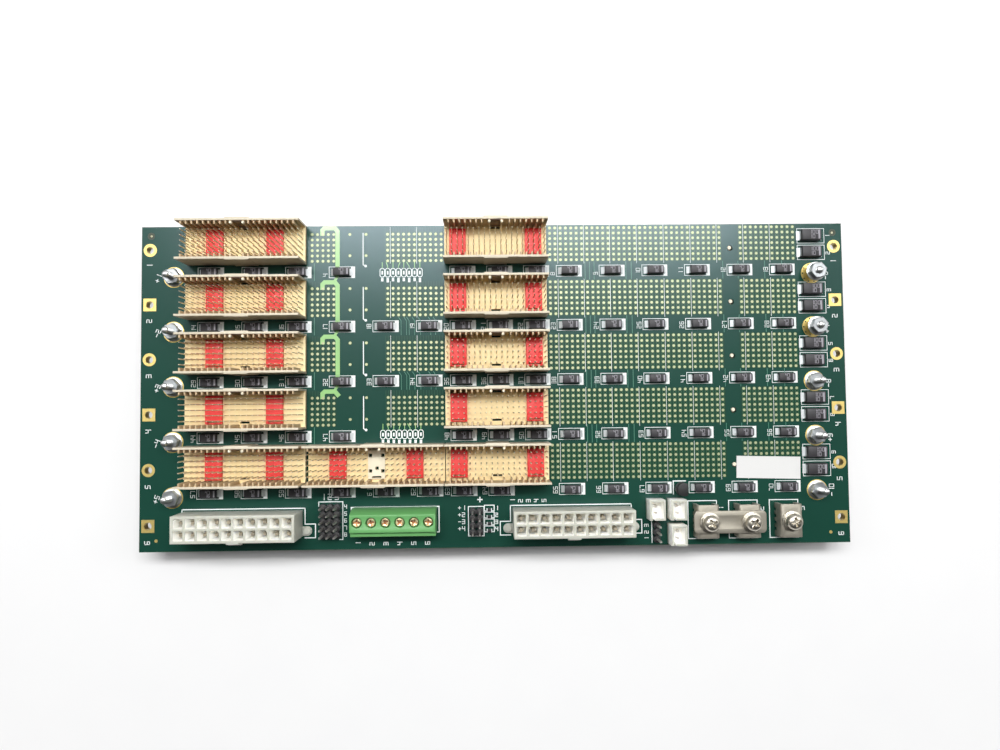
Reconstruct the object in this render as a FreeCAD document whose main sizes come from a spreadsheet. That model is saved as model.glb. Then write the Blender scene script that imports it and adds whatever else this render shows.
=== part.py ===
import FreeCAD, Part
import math
import os
import Sketcher

# Five-slot card backplane lying on the rims of its front headers, rear side up.
# Millimetres. X runs along the contact rows, Y across the slots, Z up out of the rear face.
# The origin is under the middle of the board, level with the rims it lies on.
doc = FreeCAD.newDocument("backplane")
sheet = doc.addObject("Spreadsheet::Sheet", "Dim")

DIMENSIONS = (
    ("board_length", 262.05, "board, along the contact rows"),
    ("board_width", 119.7, "board, across the slots"),
    ("board_thickness", 3.2, "laminate with its copper layers"),
    ("slot_pitch", 20.32, "slot to slot, and hole row to hole row"),
    ("slot_three", 12.05, "middle slot, above the board's middle"),
    ("hole_span", 255.85, "between the two columns of fixing holes"),
    ("hole_middle", 0.35, "fixing pattern's middle, above the board's middle"),
    ("hole_rows", 6, "fixing holes in a column"),
    ("hole_bore", 2.75, "fixing hole"),
    ("tooling_span", 255.2, "between the two tooling holes"),
    ("tooling_y", 56.4, "tooling holes"),
    ("tooling_bore", 1.2, "tooling hole"),
    ("key_bore", 2.2, "vent hole behind the keying gap of each system connector"),
    ("key_drop", 2.0, "vent hole below its slot's middle"),
    ("slots", 5, "card slots"),
    ("contact_pitch", 2.0, "contact columns, and contact rows"),
    ("columns_system", 25, "contact columns of the two keyed connector types"),
    ("columns_wide", 22, "contact columns of the plain connector"),
    ("columns_short", 19, "contact columns of the middle connector"),
    ("one_x", 88.45, "middle of connector 1"),
    ("two_x", 41.45, "middle of connector 2"),
    ("three_x", 0.0, "middle of connector 3"),
    ("four_x", -44.2, "middle of connector 4"),
    ("five_x", -92.2, "middle of connector 5"),
    ("shroud_height", 12.7, "headers and shrouds, off the board"),
    ("shroud_width", 14.6, "outside, across the slot"),
    ("shroud_wall", 0.8, "wall between two ribs"),
    ("shroud_floor", 2.0, "floor that the contacts are pressed through"),
    ("shroud_gap", 0.1, "taken off the length so that neighbours clear"),
    ("rib_depth", 1.2, "guide rib, off the wall"),
    ("rib_root", 1.5, "half the rib's root, inside the wall"),
    ("bump_length", 8.2, "outside thickening at mid-length"),
    ("bump_depth", 0.35, "outside thickening, off the wall"),
    ("key_length", 6.2, "keying block, along the row"),
    ("key_height", 1.6, "keying block, above the floor"),
    ("key_hole", 1.3, "square hole in the keying block"),
    ("lock_length", 6.1, "locking insert, three columns long"),
    ("lock_clearance", 0.1, "locking insert to the ribs, each side"),
    ("lock_height", 1.4, "locking insert, above the floor"),
    ("chip_length", 6.0, "small tantalum capacitor"),
    ("chip_width", 3.2, "small tantalum capacitor"),
    ("chip_height", 2.6, "small tantalum capacitor"),
    ("chip_draft", 0.2, "moulding draft of each long side"),
    ("chip_drop", 10.2, "capacitor row below its slot's middle"),
    ("chip_left_x", -105.5, "first capacitor of the left field"),
    ("chip_left_pitch", 16.13, "left field"),
    ("chip_mid_x", -12.3, "first capacitor of the middle field"),
    ("chip_mid_pitch", 13.8, "middle field"),
    ("chip_right_x", 27.6, "first capacitor of the right field"),
    ("chip_right_pitch", 16.1, "right field"),
    ("bulk_length", 7.3, "large tantalum capacitor"),
    ("bulk_width", 4.3, "large tantalum capacitor"),
    ("bulk_height", 2.9, "large tantalum capacitor"),
    ("bulk_x", 118.6, "column of large capacitors"),
    ("bulk_rise", 2.5, "upper one of a pair, above its slot's middle"),
    ("bulk_drop", 3.8, "lower one of a pair, below its slot's middle"),
    ("stud_span", 238.2, "between the two columns of power studs"),
    ("stud_thread", 2.6, "stud screw"),
    ("stud_rise", 8.5, "stud tip above the rear face"),
    ("nut_corners", 6.35, "hexagon nut across its corners"),
    ("nut_height", 3.1, "hexagon nut with the washer under it"),
    ("nut_lift", 3.9, "the two nuts that are run up near their tips"),
    ("supply_left_x", -93.2, "left supply header"),
    ("supply_right_x", 27.0, "right supply header"),
    ("supply_y", -50.05, "both supply headers"),
    ("supply_pitch", 4.2, "cells of a supply header"),
    ("supply_cells", 10, "cells in a row"),
    ("supply_length", 43.2, "supply header"),
    ("supply_width", 9.6, "supply header"),
    ("supply_height", 12.8, "supply header"),
    ("cell_size", 3.4, "cell, inside"),
    ("cell_depth", 10.3, "cell, below the rim"),
    ("supply_pin", 1.07, "square contact in a cell"),
    ("supply_pin_height", 7.5, "contact, above the cell's floor"),
    ("latch_length", 4.3, "latch ramp on the lower side"),
    ("latch_depth", 1.2, "latch ramp, off the wall"),
    ("latch_height", 5.0, "latch ramp, down from the rim"),
    ("peg_offset", 23.3, "board peg from the header's middle"),
    ("peg_drop", 2.8, "board peg below the header's middle"),
    ("peg_bore", 2.8, "head of the board peg"),
    ("peg_height", 1.6, "head of the board peg"),
    ("ear_width", 3.4, "ear that carries the peg"),
    ("ear_height", 1.0, "ear that carries the peg"),
    ("block_x", -37.7, "terminal block"),
    ("block_y", -49.25, "terminal block"),
    ("block_pitch", 5.08, "poles of the terminal block"),
    ("block_poles", 6, "poles of the terminal block"),
    ("block_depth", 9.5, "terminal block, across"),
    ("block_height", 10.0, "terminal block"),
    ("block_shoulder", 6.0, "top of the upright back wall"),
    ("block_slope", 1.55, "how far the back leans in above it"),
    ("block_lip", 1.65, "front lip, across"),
    ("block_lip_height", 8.2, "front lip"),
    ("well_bore", 3.7, "screw well"),
    ("well_depth", 3.4, "screw well"),
    ("well_offset", 0.4, "screw row towards the back"),
    ("clamp_screw", 3.1, "clamping screw"),
    ("clamp_screw_height", 2.9, "clamping screw"),
    ("entry_width", 3.4, "wire entry"),
    ("entry_height", 3.6, "wire entry"),
    ("entry_sill", 1.1, "wire entry above the board"),
    ("entry_depth", 6.4, "wire entry"),
    ("clamp_depth", 3.0, "wire clamp at the back of the entry"),
    ("clamp_size", 3.0, "wire clamp"),
    ("post_pitch", 2.54, "pin headers"),
    ("post_pin", 0.64, "square header pin"),
    ("post_rise", 8.4, "header pin above the board"),
    ("option_x", -61.4, "pin header with three rows of five"),
    ("option_y", -49.35, "pin header with three rows of five"),
    ("signal_x", -8.0, "pin header with two rows of four"),
    ("signal_y", -50.25, "pin header with two rows of four"),
    ("select_x", 58.4, "pin header with one row of three"),
    ("select_y", -54.85, "pin header with one row of three"),
    ("wafer_length", 7.4, "two-pin wafer connector, along its pins"),
    ("wafer_width", 5.75, "two-pin wafer connector"),
    ("wafer_height", 7.0, "two-pin wafer connector"),
    ("wafer_wall", 0.8, "two-pin wafer connector"),
    ("wafer_floor", 1.6, "two-pin wafer connector"),
    ("wafer_pitch", 2.5, "pins of the wafer connector"),
    ("wafer_pin", 0.64, "pin of the wafer connector"),
    ("wafer_pin_height", 3.6, "pin, above the connector's floor"),
    ("wafer_slot", 0.9, "slot in the connector's lower wall"),
    ("wafer_x", 57.75, "left wafer connector"),
    ("wafer_step", 7.75, "left to right"),
    ("wafer_y", -46.25, "upper two wafer connectors"),
    ("wafer_drop", 9.2, "upper to lower"),
    ("tap_x", 76.4, "first power tap"),
    ("tap_pitch", 15.24, "power taps"),
    ("tap_y", -50.75, "power taps"),
    ("tap_length", 8.2, "power tap, along the board"),
    ("tap_width", 12.0, "power tap, across"),
    ("tap_height", 6.0, "power tap"),
    ("tap_sheet", 1.2, "folded strip of the power tap"),
    ("tap_bore", 4.2, "screw hole of the power tap"),
    ("tap_legs", 5, "solder legs down each side of the power tap"),
    ("tap_leg_gap", 1.1, "gap between two solder legs"),
    ("tap_leg_pitch", 2.4, "solder legs"),
    ("tap_leg_height", 1.6, "solder legs"),
    ("bar_length", 26.2, "link bar over two taps"),
    ("bar_width", 8.0, "link bar"),
    ("bar_height", 1.2, "link bar"),
    ("bar_corner", 1.5, "link bar"),
    ("bar_bore", 4.4, "screw holes of the link bar"),
    ("tap_thread", 4.0, "tap screw"),
    ("tap_thread_reach", 4.6, "tap screw, below the seat"),
    ("tap_washer", 7.2, "captive flat washer"),
    ("tap_washer_height", 0.8, "captive flat washer"),
    ("tap_head", 6.1, "pan head"),
    ("tap_head_height", 3.4, "pan head with the spring washer under it"),
    ("sensor_x", 67.8, "three-legged sensor"),
    ("sensor_y", -39.0, "three-legged sensor"),
    ("sensor_bore", 4.8, "round back of the sensor"),
    ("sensor_flat", 1.3, "flat front, from the sensor's middle"),
    ("sensor_height", 4.8, "sensor body"),
    ("sensor_leg", 0.45, "sensor leg"),
    ("sensor_leg_pitch", 1.27, "sensor legs"),
    ("sensor_leg_height", 1.4, "sensor body above the board"),
    ("resistor_x", -3.2, "four chip resistors"),
    ("resistor_y", -53.7, "lowest chip resistor"),
    ("resistor_pitch", 2.52, "chip resistors"),
    ("resistor_length", 2.0, "chip resistor"),
    ("resistor_width", 1.25, "chip resistor"),
    ("resistor_height", 0.55, "chip resistor"),
    ("label_x", 101.0, "paper label"),
    ("label_y", -31.75, "paper label"),
    ("label_length", 24.0, "paper label"),
    ("label_width", 8.2, "paper label"),
    ("label_height", 0.12, "paper label"),
    ("label_turn", -1.5, "how far the label is askew, in degrees"),
)
for row, (alias, value, meaning) in enumerate(DIMENSIONS, start=1):
    sheet.set(f"A{row}", alias)
    sheet.set(f"B{row}", str(value))
    sheet.set(f"C{row}", meaning)
    sheet.setAlias(f"B{row}", alias)
doc.recompute()

FRONT_FACE = "Dim.shroud_height"
REAR_FACE = "(Dim.shroud_height + Dim.board_thickness)"
LOWEST_SLOT = "(Dim.slot_three - 2 * Dim.slot_pitch)"
ALL_SLOTS = ("4 * Dim.slot_pitch", "Dim.slots")
HALF_CAVITY = "(Dim.shroud_width / 2 - Dim.shroud_wall - Dim.rib_depth)"
sub_parts = []


def sub_part(kind, label, x="0", y="0", z=REAR_FACE, face_down=False):
    """A named object of the document, put at a place given by formulas on the sheet."""
    item = doc.addObject(kind, label)
    item.Label = label
    if face_down:
        item.Placement.Rotation = FreeCAD.Rotation(FreeCAD.Vector(1, 0, 0), 180)
    for axis, formula in zip("xyz", (x, y, z)):
        item.setExpression(f"Placement.Base.{axis}", formula)
    sub_parts.append(item)
    return item


def body_for(label, x="0", y="0", z=REAR_FACE, face_down=False):
    """A body, which may hold several separate solids of one kind."""
    item = sub_part("PartDesign::Body", label, x, y, z, face_down)
    item.AllowCompound = True
    return item


def sketch_on(body, role, lift="0", shift="0"):
    """A sketch on one of the body's own planes, lifted off it and shifted along its first axis."""
    plane = next(feature for feature in body.Origin.OriginFeatures if feature.Role == role)
    item = body.newObject("Sketcher::SketchObject", "outline")
    item.AttachmentSupport = (plane, [""])
    item.MapMode = "FlatFace"
    item.setExpression("AttachmentOffset.Base.z", lift)
    item.setExpression("AttachmentOffset.Base.x", shift)
    return item


def hold(sketch, kind, targets, start, formula):
    """One dimension of a sketch, driven by a formula."""
    row = sketch.addConstraint(Sketcher.Constraint(kind, *targets, start))
    sketch.setExpression(f"Constraints[{row}]", formula)


def outline(sketch, corners):
    """Straight lines round corners given as pairs of formulas, begun as a regular polygon."""
    count = len(corners)
    first = sketch.GeometryCount
    turns = [0.3 + 2 * math.pi * step / count for step in range(count)]
    start = [FreeCAD.Vector(math.cos(turn), math.sin(turn)) for turn in turns]
    for step in range(count):
        sketch.addGeometry(Part.LineSegment(start[step], start[(step + 1) % count]))
    for step, (across, up) in enumerate(corners):
        after = first + (step + 1) % count
        sketch.addConstraint(Sketcher.Constraint("Coincident", first + step, 2, after, 1))
        hold(sketch, "DistanceX", (-1, 1, first + step, 1), start[step].x, across)
        hold(sketch, "DistanceY", (-1, 1, first + step, 1), start[step].y, up)


def rectangle(sketch, x, y, length, width):
    """A rectangle about its middle."""
    west, east = (f"({x}) {sign} ({length}) / 2" for sign in "-+")
    south, north = (f"({y}) {sign} ({width}) / 2" for sign in "-+")
    outline(sketch, [(west, south), (east, south), (east, north), (west, north)])


def circle(sketch, x, y, bore):
    """A circle about its middle."""
    index = sketch.addGeometry(Part.Circle(FreeCAD.Vector(1, 1, 0), FreeCAD.Vector(0, 0, 1), 1))
    hold(sketch, "DistanceX", (-1, 1, index, 3), 1.0, x)
    hold(sketch, "DistanceY", (-1, 1, index, 3), 1.0, y)
    hold(sketch, "Diameter", (index,), 2.0, bore)


def polygon(sketch, x, y, bore, sides):
    """A regular polygon across whose corners the bore is measured."""
    corners = []
    for step in range(sides):
        angle = f"{360 * (step + 0.5) / sides} deg"
        corners.append((f"({x}) + ({bore}) / 2 * cos({angle})", f"({y}) + ({bore}) / 2 * sin({angle})"))
    outline(sketch, corners)


def extrude(body, kind, sketch, length, **settings):
    """A Pad or a Pocket of the sketch."""
    item = body.newObject(f"PartDesign::{kind}", kind)
    item.Profile = sketch
    item.setExpression("Length", length)
    for name, value in settings.items():
        setattr(item, name, value)
    return item


def repeat(body, feature, along=None, across=None):
    """The feature repeated along X and across in Y; each run is a total length and a count."""
    guide = sketch_on(body, "XY_Plane")
    item = body.newObject("PartDesign::LinearPattern", "LinearPattern")
    item.Originals = [feature]
    runs = [(axis, run) for axis, run in (("H_Axis", along), ("V_Axis", across)) if run]
    for suffix, (axis, (length, count)) in zip(("", "2"), runs):
        setattr(item, f"Direction{suffix}", (guide, [axis]))
        item.setExpression(f"Length{suffix}", length)
        item.setExpression(f"Occurrences{suffix}", count)
    body.Tip = item
    return item


def slot(number):
    """The middle of a slot; slot 1 is at the top edge."""
    return f"(Dim.slot_three + {3 - number} * Dim.slot_pitch)"


# Board: one laminate plate with its fixing, vent and tooling holes drilled through.
board = body_for("circuit_board", z=FRONT_FACE)
plate = sketch_on(board, "XY_Plane")
rectangle(plate, "0", "0", "Dim.board_length", "Dim.board_width")
extrude(board, "Pad", plate, "Dim.board_thickness")
LOWEST_HOLE = "(Dim.hole_middle - 2.5 * Dim.slot_pitch)"
drill = sketch_on(board, "XY_Plane", lift="Dim.board_thickness")
for place in ("-Dim.hole_span / 2", "Dim.hole_span / 2"):
    circle(drill, place, LOWEST_HOLE, "Dim.hole_bore")
holes = extrude(board, "Pocket", drill, "Dim.board_thickness")
repeat(board, holes, across=("5 * Dim.slot_pitch", "Dim.hole_rows"))
vent = sketch_on(board, "XY_Plane", lift="Dim.board_thickness")
polygon(vent, "Dim.one_x", f"{LOWEST_SLOT} - Dim.key_drop", "Dim.key_bore", 8)
repeat(board, extrude(board, "Pocket", vent, "Dim.board_thickness"), across=ALL_SLOTS)
tooling = sketch_on(board, "XY_Plane", lift="Dim.board_thickness")
for place in ("-Dim.tooling_span / 2", "Dim.tooling_span / 2"):
    polygon(tooling, place, "Dim.tooling_y", "Dim.tooling_bore", 8)
extrude(board, "Pocket", tooling, "Dim.board_thickness")


def shroud(label, columns, x, y, rear, keyed):
    """A moulded contact shroud: a channel, on the rear with guide ribs, a notch and thickenings."""
    body = body_for(label, x, y, REAR_FACE if rear else FRONT_FACE, face_down=not rear)
    length = f"({columns} * Dim.contact_pitch - Dim.shroud_gap)"
    half = "Dim.shroud_width / 2"
    inside = f"({half} - Dim.shroud_wall)" if rear else HALF_CAVITY
    rise = "(Dim.shroud_height - Dim.shroud_floor)"
    section = sketch_on(body, "YZ_Plane")
    rim, base = "Dim.shroud_height", "Dim.shroud_floor"
    right = [(half, "0"), (half, rim), (inside, rim), (inside, base)]
    left = [(f"-{across}", up) for across, up in reversed(right)]
    outline(section, right + left)
    extrude(body, "Pad", section, length, SideType="Symmetric")
    if rear:
        sides = sketch_on(body, "XY_Plane")
        ribs = sketch_on(body, "XY_Plane", lift=base)
        root = f"({half} - Dim.shroud_wall / 2)"
        first = f"-({columns} / 2 - 1) * Dim.contact_pitch"
        corners = [
            (f"{first} - Dim.rib_root", root),
            (f"{first} + Dim.rib_root", root),
            (first, HALF_CAVITY),
        ]
        for sign in ("-", ""):
            rectangle(sides, "0", f"{sign}{half}", "Dim.bump_length", "2 * Dim.bump_depth")
            outline(ribs, [(across, f"{sign}{up}") for across, up in corners])
        extrude(body, "Pad", sides, rim)
        rib = extrude(body, "Pad", ribs, rise)
        repeat(body, rib, along=(f"({columns} - 2) * Dim.contact_pitch", f"{columns} - 1"))
        notch = sketch_on(body, "XY_Plane", lift=rim)
        notch_length = f"(1 + mod({columns}; 2)) * Dim.contact_pitch"
        rectangle(notch, "0", "0", notch_length, f"2 * {inside}")
        extrude(body, "Pocket", notch, rise)
    if keyed:
        key = sketch_on(body, "XY_Plane", lift="Dim.shroud_floor / 2")
        rectangle(key, "0", "0", "Dim.key_length", f"2 * {HALF_CAVITY} + Dim.rib_depth")
        extrude(body, "Pad", key, "Dim.key_height + Dim.shroud_floor / 2")
    if keyed and rear:
        holes = sketch_on(body, "XY_Plane", lift="Dim.shroud_floor + Dim.key_height")
        corner = ("(Dim.key_length / 2 - Dim.key_hole * 0.75)", f"({HALF_CAVITY} - 1.8 * Dim.key_hole)")
        places = [(f"{a}{corner[0]}", f"{b}{corner[1]}") for a in ("-", "") for b in ("-", "")]
        for across, up in places + [("0", "-Dim.key_hole")]:
            rectangle(holes, across, up, "Dim.key_hole", "Dim.key_hole")
        extrude(body, "Pocket", holes, "Dim.key_height")
    return body


# Front headers: five connectors in each slot, hanging under the board and carrying it.
# Rear shrouds: connectors 3 and 5 in every slot, connector 4 in the lowest slot only.
CONNECTORS = (
    (1, "Dim.columns_system", "Dim.one_x", True, ()),
    (2, "Dim.columns_wide", "Dim.two_x", False, ()),
    (3, "Dim.columns_short", "Dim.three_x", False, (1, 2, 3, 4, 5)),
    (4, "Dim.columns_system", "Dim.four_x", True, (5,)),
    (5, "Dim.columns_wide", "Dim.five_x", False, (1, 2, 3, 4, 5)),
)
for number, columns, middle, keyed, rear_slots in CONNECTORS:
    for place in (1, 2, 3, 4, 5):
        shroud(f"front_header_{number}_slot_{place}", columns, middle, slot(place), False, keyed)
    for place in rear_slots:
        shroud(f"rear_shroud_{number}_slot_{place}", columns, middle, slot(place), True, keyed)

# Locking inserts: red plates on the shroud floors, three columns long, holding the contacts down.
locks = body_for("shroud_lock_inserts", z=f"{REAR_FACE} + Dim.shroud_floor")
lock_width = f"2 * ({HALF_CAVITY} - Dim.lock_clearance)"
LOCKS = (
    ("Dim.five_x", "5.5 * Dim.contact_pitch", ALL_SLOTS),
    ("Dim.three_x", "7 * Dim.contact_pitch", ALL_SLOTS),
    ("Dim.four_x", "7 * Dim.contact_pitch", None),
)
for middle, offset, run in LOCKS:
    plates = sketch_on(locks, "XY_Plane")
    for sign in ("-", "+"):
        rectangle(plates, f"{middle} {sign} {offset}", LOWEST_SLOT, "Dim.lock_length", lock_width)
    pads = extrude(locks, "Pad", plates, "Dim.lock_height")
    if run:
        repeat(locks, pads, across=run)

# Small tantalum capacitors: moulded blocks with draft, in rows between the slots.
chips = body_for("small_capacitors")
chip_row = f"{LOWEST_SLOT} - Dim.chip_drop"
ONE_PITCH = ("Dim.slot_pitch", "2")
CHIP_FIELDS = (
    ("Dim.chip_left_x", 0, ("3 * Dim.chip_left_pitch", "4"), ALL_SLOTS),
    ("Dim.chip_left_x + 4 * Dim.chip_left_pitch", 0, ("Dim.chip_left_pitch", "2"), None),
    ("Dim.chip_left_x + 4 * Dim.chip_left_pitch", 2, ("Dim.chip_left_pitch", "2"), ONE_PITCH),
    ("Dim.chip_mid_x", 0, ("Dim.chip_mid_pitch", "2"), None),
    ("Dim.chip_mid_x", 1, ("2 * Dim.chip_mid_pitch", "3"), ("3 * Dim.slot_pitch", "4")),
    ("Dim.chip_right_x", 0, ("5 * Dim.chip_right_pitch", "6"), ALL_SLOTS),
)


def moulded_block(body, x, y, size):
    """A capacitor body: a section drawn in at the top, drawn out along the row."""
    end = sketch_on(body, "YZ_Plane", lift=x)
    half, top = f"Dim.{size}_width / 2", f"Dim.{size}_height"
    outline(end, [
        (f"{y} - {half}", "0"),
        (f"{y} + {half}", "0"),
        (f"{y} + {half} - Dim.chip_draft", top),
        (f"{y} - {half} + Dim.chip_draft", top),
    ])
    return extrude(body, "Pad", end, f"Dim.{size}_length", SideType="Symmetric")


for place, rows_up, along, across in CHIP_FIELDS:
    chip = moulded_block(chips, place, f"{chip_row} + {rows_up} * Dim.slot_pitch", "chip")
    repeat(chips, chip, along, across)

# Large tantalum capacitors: a pair beside each slot at the right-hand end.
bulk = body_for("large_capacitors")
for offset in ("+ Dim.bulk_rise", "- Dim.bulk_drop"):
    chip = moulded_block(bulk, "Dim.bulk_x", f"{LOWEST_SLOT} {offset}", "bulk")
    repeat(bulk, chip, across=ALL_SLOTS)

# Power studs: threaded studs pressed into the board, each with its washer and hexagon nut. The nuts are
# run down, except the upper two at the right-hand end.
studs = body_for("power_studs", "-Dim.stud_span / 2", "Dim.hole_middle - 2 * Dim.slot_pitch")


def stud_run(x, y, count, lift):
    """A column of studs with their nuts at a height; under a raised nut the thread shows."""
    run = (f"{count - 1} * Dim.slot_pitch", f"{count}")
    if lift != "0":
        root = sketch_on(studs, "XY_Plane")
        polygon(root, x, y, "Dim.stud_thread", 12)
        repeat(studs, extrude(studs, "Pad", root, lift), across=run)
    hexagon = sketch_on(studs, "XY_Plane", lift=lift)
    polygon(hexagon, x, y, "Dim.nut_corners", 6)
    repeat(studs, extrude(studs, "Pad", hexagon, "Dim.nut_height"), across=run)
    thread = sketch_on(studs, "XY_Plane", lift=f"{lift} + Dim.nut_height")
    circle(thread, x, y, "Dim.stud_thread")
    shank = extrude(studs, "Pad", thread, f"Dim.stud_rise - {lift} - Dim.nut_height")
    repeat(studs, shank, across=run)


stud_run("0", "0", 5, "0")
stud_run("Dim.stud_span", "0", 3, "0")
stud_run("Dim.stud_span", "3 * Dim.slot_pitch", 2, "Dim.nut_lift")


CELL_RUNS = (
    ("(Dim.supply_cells - 1) * Dim.supply_pitch", "Dim.supply_cells"),
    ("Dim.supply_pitch", "2"),
)


def supply_header(label, x):
    """A moulded supply header: two rows of cells, a latch ramp and a board peg at each end."""
    body = body_for(label, x, "Dim.supply_y")
    block = sketch_on(body, "XY_Plane")
    rectangle(block, "0", "0", "Dim.supply_length", "Dim.supply_width")
    extrude(body, "Pad", block, "Dim.supply_height")
    front = "-Dim.supply_width / 2"
    top = "Dim.supply_height"
    ramp = sketch_on(body, "YZ_Plane")
    outline(ramp, [
        (f"{front} + 0.2", f"{top} - Dim.latch_height"),
        (f"{front} + 0.2", top),
        (f"{front} - Dim.latch_depth / 3", top),
        (f"{front} - Dim.latch_depth", f"{top} - Dim.latch_height * 0.7"),
        (f"{front} - Dim.latch_depth", f"{top} - Dim.latch_height"),
    ])
    extrude(body, "Pad", ramp, "Dim.latch_length", SideType="Symmetric")
    ears = sketch_on(body, "XY_Plane")
    pegs = sketch_on(body, "XY_Plane")
    for sign in ("-", ""):
        rectangle(ears, f"{sign}Dim.peg_offset", "-Dim.peg_drop", "Dim.ear_width + 0.2", "Dim.ear_width")
        polygon(pegs, f"{sign}Dim.peg_offset", "-Dim.peg_drop", "Dim.peg_bore", 8)
    extrude(body, "Pad", ears, "Dim.ear_height")
    extrude(body, "Pad", pegs, "Dim.peg_height")
    mouths = sketch_on(body, "XY_Plane", lift=top)
    first = "-(Dim.supply_cells - 1) / 2 * Dim.supply_pitch"
    rectangle(mouths, first, "-Dim.supply_pitch / 2", "Dim.cell_size", "Dim.cell_size")
    cell = extrude(body, "Pocket", mouths, "Dim.cell_depth")
    repeat(body, cell, *CELL_RUNS)


# Supply headers: white housings along the lower edge, with tinned contacts standing in the cells.
supply_header("supply_header_left", "Dim.supply_left_x")
supply_header("supply_header_right", "Dim.supply_right_x")
cell_floor = f"{REAR_FACE} + Dim.supply_height - Dim.cell_depth"
contacts = body_for("supply_header_pins", y="Dim.supply_y", z=cell_floor)
for middle in ("Dim.supply_left_x", "Dim.supply_right_x"):
    squares = sketch_on(contacts, "XY_Plane")
    first = f"{middle} - (Dim.supply_cells - 1) / 2 * Dim.supply_pitch"
    rectangle(squares, first, "-Dim.supply_pitch / 2", "Dim.supply_pin", "Dim.supply_pin")
    pads = extrude(contacts, "Pad", squares, "Dim.supply_pin_height")
    repeat(contacts, pads, *CELL_RUNS)

# Terminal block: a green housing with a screw well and a wire entry for each pole.
block = body_for("terminal_block_body", "Dim.block_x", "Dim.block_y")
back, front = "Dim.block_depth / 2", "-Dim.block_depth / 2"
profile = sketch_on(block, "YZ_Plane")
outline(profile, [
    (front, "0"),
    (back, "0"),
    (back, "Dim.block_shoulder"),
    (f"{back} - Dim.block_slope", "Dim.block_height"),
    (f"{front} + Dim.block_lip", "Dim.block_height"),
    (f"{front} + Dim.block_lip", "Dim.block_lip_height"),
    (front, "Dim.block_lip_height"),
])
extrude(block, "Pad", profile, "Dim.block_poles * Dim.block_pitch", SideType="Symmetric")
FIRST_POLE = "-(Dim.block_poles - 1) / 2 * Dim.block_pitch"
ALL_POLES = ("(Dim.block_poles - 1) * Dim.block_pitch", "Dim.block_poles")
wells = sketch_on(block, "XY_Plane", lift="Dim.block_height")
polygon(wells, FIRST_POLE, "Dim.well_offset", "Dim.well_bore", 12)
repeat(block, extrude(block, "Pocket", wells, "Dim.well_depth"), ALL_POLES)
entries = sketch_on(block, "XZ_Plane", lift="Dim.block_depth / 2")
entry_middle = "Dim.entry_sill + Dim.entry_height / 2"
rectangle(entries, FIRST_POLE, entry_middle, "Dim.entry_width", "Dim.entry_height")
repeat(block, extrude(block, "Pocket", entries, "Dim.entry_depth"), ALL_POLES)

well_floor = f"{REAR_FACE} + Dim.block_height - Dim.well_depth"
clamp_screws = body_for("terminal_block_screws", "Dim.block_x", "Dim.block_y", well_floor)
heads = sketch_on(clamp_screws, "XY_Plane")
polygon(heads, FIRST_POLE, "Dim.well_offset", "Dim.clamp_screw", 8)
repeat(clamp_screws, extrude(clamp_screws, "Pad", heads, "Dim.clamp_screw_height"), ALL_POLES)

clamps = body_for("terminal_block_clamps", "Dim.block_x", "Dim.block_y", f"{REAR_FACE} + Dim.entry_sill")
cages = sketch_on(clamps, "XY_Plane")
cage_y = f"{front} + Dim.entry_depth - Dim.clamp_depth / 2"
rectangle(cages, FIRST_POLE, cage_y, "Dim.clamp_size", "Dim.clamp_depth")
repeat(clamps, extrude(clamps, "Pad", cages, "Dim.clamp_size"), ALL_POLES)

# Pin headers: black moulded bases with square pins standing in rows on them.
PIN_HEADERS = (
    ("pin_header_three_by_five", "Dim.option_x", "Dim.option_y", 3, 5),
    ("pin_header_two_by_four", "Dim.signal_x", "Dim.signal_y", 2, 4),
    ("pin_header_one_by_three", "Dim.select_x", "Dim.select_y", 1, 3),
)
pins = body_for("header_pins")
for label, x, y, across, along in PIN_HEADERS:
    body = body_for(label, x, y)
    base = sketch_on(body, "XY_Plane")
    rectangle(base, "0", "0", f"{across} * Dim.post_pitch", f"{along} * Dim.post_pitch")
    extrude(body, "Pad", base, "Dim.post_pitch")
    first_x, first_y = (f"-{(count - 1) / 2} * Dim.post_pitch" for count in (across, along))
    runs = [(f"{count - 1} * Dim.post_pitch", str(count)) for count in (across, along)]
    runs[0] = runs[0] if across > 1 else None
    posts = sketch_on(pins, "XY_Plane", lift="Dim.post_pitch")
    rectangle(posts, f"{x} + {first_x}", f"{y} + {first_y}", "Dim.post_pin", "Dim.post_pin")
    repeat(pins, extrude(pins, "Pad", posts, "Dim.post_rise - Dim.post_pitch"), *runs)

# Wafer connectors: three white open-topped boxes with a slotted lower wall and two pins each.
wafers = body_for("wafer_connectors")
WAFERS = (
    ("Dim.wafer_x", "Dim.wafer_y"),
    ("Dim.wafer_x + Dim.wafer_step", "Dim.wafer_y"),
    ("Dim.wafer_x + Dim.wafer_step", "Dim.wafer_y - Dim.wafer_drop"),
)
boxes = sketch_on(wafers, "XY_Plane")
hollows = sketch_on(wafers, "XY_Plane", lift="Dim.wafer_height")
cuts = sketch_on(wafers, "XY_Plane", lift="Dim.wafer_height")
inner_length = "Dim.wafer_length - 2 * Dim.wafer_wall"
inner_width = "Dim.wafer_width - 2 * Dim.wafer_wall"
posts = sketch_on(pins, "XY_Plane", lift="Dim.wafer_floor")
for x, y in WAFERS:
    rectangle(boxes, x, y, "Dim.wafer_width", "Dim.wafer_length")
    rectangle(hollows, x, y, inner_width, inner_length)
    cut_x, cut_y = f"{x} - Dim.wafer_width / 4", f"{y} - Dim.wafer_length / 2"
    rectangle(cuts, cut_x, cut_y, "Dim.wafer_slot", "2.4 * Dim.wafer_wall")
    for sign in ("-", "+"):
        rectangle(posts, x, f"{y} {sign} Dim.wafer_pitch / 2", "Dim.wafer_pin", "Dim.wafer_pin")
extrude(wafers, "Pad", boxes, "Dim.wafer_height")
extrude(wafers, "Pocket", hollows, "Dim.wafer_height - Dim.wafer_floor")
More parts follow.
